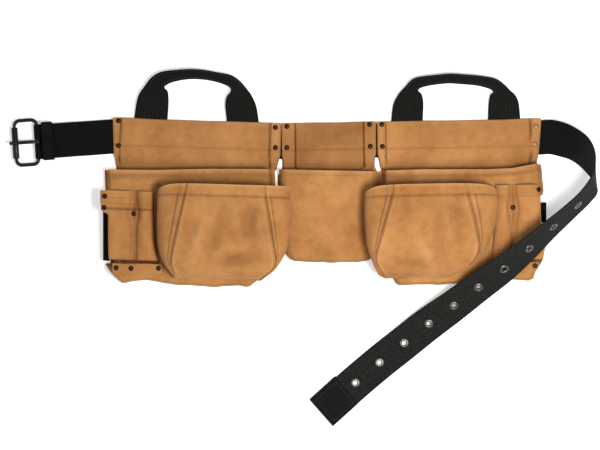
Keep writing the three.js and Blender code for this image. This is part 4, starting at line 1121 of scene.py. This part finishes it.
def band_foot(key, u):
    return along([(row[0], row[2]) for row in band_tables[key]], u)


def bottom_band(key):
    rows = band_tables[key]
    stops = spread([row[0] for row in rows], 2)

    def shape(up, u):
        top = along([(row[0], row[1]) for row in rows], u)
        low = band_foot(key, u)
        notch = 1.4 * line(u, -37.5, 3) * up
        return on_panel(key, u, low + (top - low) * up + notch, band_face + 0.3 * uneven(u * 0.1, up, 3))

    piece = sewn_sheet(f"foot_band_{key}", [0, 0.06, 0.2, 0.4, 0.6, 0.8, 0.94, 1], stops, shape, pocket_skin,
                       panels[key]["side"] > 0)
    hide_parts(f"bottom_band_{key}")


for key in ("left", "right"):
    bottom_band(key)

# Hammer loops: black web sewn into the outer side seam of each bag as a flat upright ring.
# Each row of a table: the place down the seam and the edge of the bag there.
loop_tables = {
    "left": [(-106, -131.6), (-130, -130.8), (-158, -129.9), (-181.4, -129.1)],
    "right": [(-96, -123.8), (-104, -123.6), (-114, -123.4), (-125, -123.3)],
}
loop_half, loop_high = 4.5, 13.65
for key in ("left", "right"):
    top, foot = loop_tables[key][0][0], loop_tables[key][-1][0]
    stops = [top + (foot - top) * k / 8 for k in range(9)]
    outline = rounded_box(loop_half, 0.05, loop_high, 3.2)
    table = [(-v, edge) for v, edge in loop_tables[key]]
    loop = ring_of_web(f"hammer_ring_{key}", outline, stops,
                       lambda p, v: on_panel(key, along(table, -v) + loop_half + p[0], v, p[1]), loop_skin, 1.8)
    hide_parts(f"hammer_loop_{key}")

# Rivets: small domed caps in antique brass on the doubled yoke ends, slots and bands.
# The pair on the far right end is worn pale. Each cap is pressed a little into the suede.


def metal(name, colour, dark, rough, scale):
    """Worn metal, with its colour and its shine uneven together."""
    skin, nodes, links, shader = fresh_skin(name)
    tree = skin.node_tree
    shader.inputs["Metallic"].default_value = 1.0
    wear = cloud(tree, nodes.new("ShaderNodeTexCoord").outputs["Object"], scale, 4)
    links.new(colour_mix(tree, wear, dark, colour), shader.inputs["Base Color"])
    links.new(stretched(tree, wear, {"To Min": rough - 0.12, "To Max": rough + 0.16}), shader.inputs["Roughness"])
    return skin


def turned(bm, place, profile, steps=24):
    """A turned piece: profile is a list of (radius, height) in mm, open on the axis."""
    verts = [bm.verts.new((radius / 1000, 0, height / 1000)) for radius, height in profile]
    edges = [bm.edges.new(pair) for pair in zip(verts, verts[1:])]
    made = bmesh.ops.spin(bm, geom=verts + edges, cent=(0, 0, 0), axis=(0, 0, 1), angle=math.tau, steps=steps,
                          use_merge=True)
    whole = {item for item in made["geom_last"] if isinstance(item, bmesh.types.BMVert)}
    reach = list(whole)
    while reach:
        vert = reach.pop()
        for edge in vert.link_edges:
            other = edge.other_vert(vert)
            if other not in whole:
                whole.add(other)
                reach.append(other)
    bmesh.ops.transform(bm, matrix=place, verts=list(whole))


rivet_spots = {
    "antique": [
        ("left", -113.7, 21.2), ("left", -112.5, -14.7), ("left", 113.4, 18.7), ("left", 114.4, -10.4),
        ("middle", -59.9, 20.4), ("middle", -60.4, -10.3), ("middle", 59.7, 21.2), ("middle", 60.1, -10.4),
        ("right", 111.6, 21.2), ("right", 111.3, -10.7),
        ("left", -126.4, -88.9), ("left", -126.6, -105), ("left", -85.1, -112.4),
        ("left", -107.6, -190.6), ("left", -86.3, -190.8), ("left", -47, -189.4),
        ("right", -109.5, -77.5), ("right", -73.4, -102.5), ("right", -103, -186.4),
    ],
    "pale": [("right", -111.4, 14.5), ("right", -109.1, -11.3)],
}
pale_rivets = ["rivet_yoke_11", "rivet_yoke_12"]
rivet_nodes = {
    "antique": [node for node in frame["nodes"] if node.startswith("rivet_") and node not in pale_rivets],
    "pale": pale_rivets,
}
rivet_skins = {
    "antique": metal("antique_brass", (0.055, 0.032, 0.021), (0.02, 0.012, 0.009), 0.55, 420),
    "pale": metal("pale_brass", (0.4, 0.27, 0.155), (0.27, 0.165, 0.085), 0.62, 420),
}
depsgraph = bpy.context.evaluated_depsgraph_get()
leather_tops = [thing.evaluated_get(depsgraph) for thing in bpy.data.objects
                if thing.name.startswith(("folded_yoke", "tool_slots", "foot_band"))]


def leather_top(x, y):
    """The highest point of the leather over a place, with its normal."""
    best = None
    for thing in leather_tops:
        hit, at, normal, face = thing.ray_cast(Vector((x, y, 0.2)), Vector((0, 0, -1)))
        if hit and (best is None or at.z > best[0].z):
            best = (at.copy(), normal.copy())
    return best


cap_profile = [(3.7, -0.3), (3.7, 0.2), (3.4, 0.6), (2.8, 0.9), (2.0, 1.12), (1.0, 1.25), (0.0, 1.3)]
for finish, spots in rivet_spots.items():
    bm = bmesh.new()
    for key, u, v in spots:
        spot = on_panel(key, u, v, 0)
        point, normal = leather_top(spot.x, spot.y)
        normal = (normal + Vector((0, 0, 1))).normalized()
        turned(bm, standing(point + normal * 0.00025, normal), cap_profile, 20)
    closed(bm)
    caps = finished(f"{finish}_rivets", bm, rivet_skins[finish])
    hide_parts(*rivet_nodes[finish])

# Eyelets: two-part nickel rings set through punched holes along the tail, one pitch apart.
# The eyelet and its washer are clenched together, so a rolled lip shows on both faces of the web.
eyelet_skin = metal("dull_nickel", (0.22, 0.215, 0.21), (0.06, 0.058, 0.055), 0.4, 300)
bm = bmesh.new()
ring_profile = [
    (3.4, -1.9), (4.6, -2.05), (5.8, -1.8), (6.6, -1.35), (6.7, -1.25), (4.2, -1.2), (4.2, 1.2), (6.7, 1.25),
    (6.6, 1.4), (5.8, 2.0), (4.6, 2.3), (3.7, 2.1), (3.2, 1.5), (3.0, 0), (3.1, -1.4), (3.4, -1.9),
]
for run in eyelet_runs:
    middle, up = belt_point(run, 0, 0)
    turned(bm, standing(middle, up if up.z > 0 else -up), ring_profile, 28)
closed(bm)
rings = finished("tail_eyelets", bm, eyelet_skin)
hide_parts(*[node for node in frame["nodes"] if node.startswith("eyelet_")])

# Buckle: a bent steel wire frame in black paint, with a roller on its far bar and a flat tongue.
# The frame and the tongue turn on the near bar, inside the folded end of the belt.
buckle_skin = metal("black_paint", (0.013, 0.013, 0.014), (0.006, 0.006, 0.0065), 0.42, 160)
dialled(buckle_skin.node_tree.nodes["Principled BSDF"],
        {"Metallic": 0.1, "Coat Weight": 0.05, "Specular IOR Level": 0.22})
frame_reach, frame_half, corner = 32.2, 32.2, 8


def across_buckle(x):
    """A place on the buckle's middle line at the height of its bars, with its axis along them."""
    turn = Matrix.Rotation(buckle_turn, 4, "Z") @ Matrix.Rotation(-math.pi / 2, 4, "X")
    return Matrix.Translation(at_buckle(x, 0, bar_height)) @ turn


def tube_ring(name, path, radius, body, node):
    bm = bmesh.new()
    around, count = 14, len(path)
    bmesh.ops.create_grid(bm, x_segments=around, y_segments=count, size=0.5)
    for vert in bm.verts:
        turn = math.tau * round((vert.co.x + 0.5) * around) / around
        k = round((vert.co.y + 0.5) * count) % count
        before, here, after = (Vector(path[m % count]) for m in (k - 1, k, k + 1))
        ahead = (after - before).normalized()
        out = Vector((ahead.y, -ahead.x))
        thick = radius + 0.35 * ease((abs(here.y) - frame_half + corner) / 5)
        spot = here + out * thick * math.cos(turn)
        vert.co = at_buckle(spot.x, spot.y, bar_height + thick * math.sin(turn))
    closed(bm)
    piece = finished(name, bm, buckle_skin, rides=body)
    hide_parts(node)


outline = []
for cx, cy, start in ((0, 1, 0), (-1, 1, 90), (-1, -1, 180), (0, -1, 270)):
    mid_x = -frame_reach + corner if cx else -corner
    for k in range(9):
        turn = math.radians(start + 90 * k / 8)
        outline.append((mid_x + corner * math.cos(turn), cy * (frame_half - corner) + corner * math.sin(turn)))
path = []
for a, b in zip(outline, outline[1:] + outline[:1]):
    parts = max(1, round(math.dist(a, b) / 6))
    path += [(a[0] + (b[0] - a[0]) * k / parts, a[1] + (b[1] - a[1]) * k / parts) for k in range(parts)]
tube_ring("wire_buckle", path, wire, "buckle", "buckle_frame")

bar_bore = 2.65
bm = bmesh.new()
roll = frame_half - corner - 1.7
turned(bm, across_buckle(-frame_reach), [
    (bar_bore, -roll), (4.2, -roll), (4.5, 0.4 - roll), (4.5, roll - 0.4), (4.2, roll), (bar_bore, roll),
    (bar_bore, -roll),
], 32)
closed(bm)
roller = finished("bar_roller", bm, buckle_skin, rides="roller")
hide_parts("buckle_roller")

# The tongue's finger, from its eye to its tip: place along the buckle, height over the bar and thickness.
tongue_table = [(-2.6, 3.1, 3), (-8, 4.6, 3.2), (-17, 6.0, 3.2), (-26, 6.5, 3.2), (-36.6, 6.5, 3), (-39.8, 6.1, 2.2)]
tongue_half = 2.6


def tongue_piece():
    bm = bmesh.new()
    turned(bm, across_buckle(0), [
        (bar_bore, -tongue_half), (4.2, -tongue_half), (4.45, -2.3), (4.45, 2.3), (4.2, tongue_half),
        (bar_bore, tongue_half), (bar_bore, -tongue_half),
    ], 28)
    bmesh.ops.remove_doubles(bm, verts=bm.verts, dist=0.00001)
    finger = bmesh.new()
    around, count = 12, 30
    bmesh.ops.create_grid(finger, x_segments=around, y_segments=count, size=0.5)
    for vert in finger.verts:
        turn = math.tau * round((vert.co.x + 0.5) * around) / around
        run = 5 * round((vert.co.y + 0.5) * count) / count
        k = min(4, int(run))
        x, h, wall = smooth_row(tongue_table, k, run - k)
        wide = tongue_half * (1 - 0.3 * ease(run - 4))
        across = math.copysign(abs(math.cos(turn)) ** 0.6, math.cos(turn)) * wide
        high = math.copysign(abs(math.sin(turn)) ** 0.7, math.sin(turn)) * wall * 0.5
        vert.co = at_buckle(x, across, bar_height + h + high)
    bmesh.ops.remove_doubles(finger, verts=finger.verts, dist=0.00001)
    bmesh.ops.holes_fill(finger, edges=[edge for edge in finger.edges if edge.is_boundary], sides=0)
    made = bpy.data.meshes.new("finger")
    finger.to_mesh(made)
    finger.free()
    bm.from_mesh(made)
    bpy.data.meshes.remove(made)
    bmesh.ops.recalc_face_normals(bm, faces=bm.faces)
    piece = finished("buckle_pin", bm, buckle_skin, rides="tongue")
    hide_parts("buckle_tongue")


tongue_piece()

# Seams on the bags: hems of the tool strips, the line down between the slots, the foot bands and the
# pocket lips. All are the same brown thread, machine sewn in straight rows near an edge.
strip_seams = {
    "left": {"hems": [(0.72, 1.2, 12.8), (1.28, 1.2, 12.8), (1.78, 1.2, 12.8)], "down": (2.6, 6.9)},
    "right": {"hems": [(0.9, 3, 12.8)], "down": (3.2, 6.0)},
}
band_inset, lip_seams = 2.2, {"left": (0.045, 0.062), "middle": (0.06,), "right": (0.06,)}
for key in ("left", "right"):
    seams = [[on_panel(key, *tool_place(key, a + (b - a) * k / 60, run)) + thread_lift for k in range(61)]
             for run, a, b in strip_seams[key]["hems"]]
    top, foot = strip_seams[key]["down"]
    seams.append([on_panel(key, *tool_place(key, 7.5, top + (foot - top) * k / 40)) + thread_lift
                  for k in range(41)])
    stitched(f"slot_thread_{key}", seams)

    rows = band_tables[key]
    seam = [on_panel(key, u, band_foot(key, u) + band_inset, band_face + 0.15)
            for u in spread([rows[0][0] + 2, rows[-1][0] - 2], 4)]
    stitched(f"band_thread_{key}", [seam])

for key in ("left", "middle", "right"):
    seams = [[on_panel(key, *pocket_place(key, "share", k / 60, share)) + thread_lift for k in range(61)]
             for share in lip_seams[key]]
    stitched(f"lip_thread_{key}", seams)
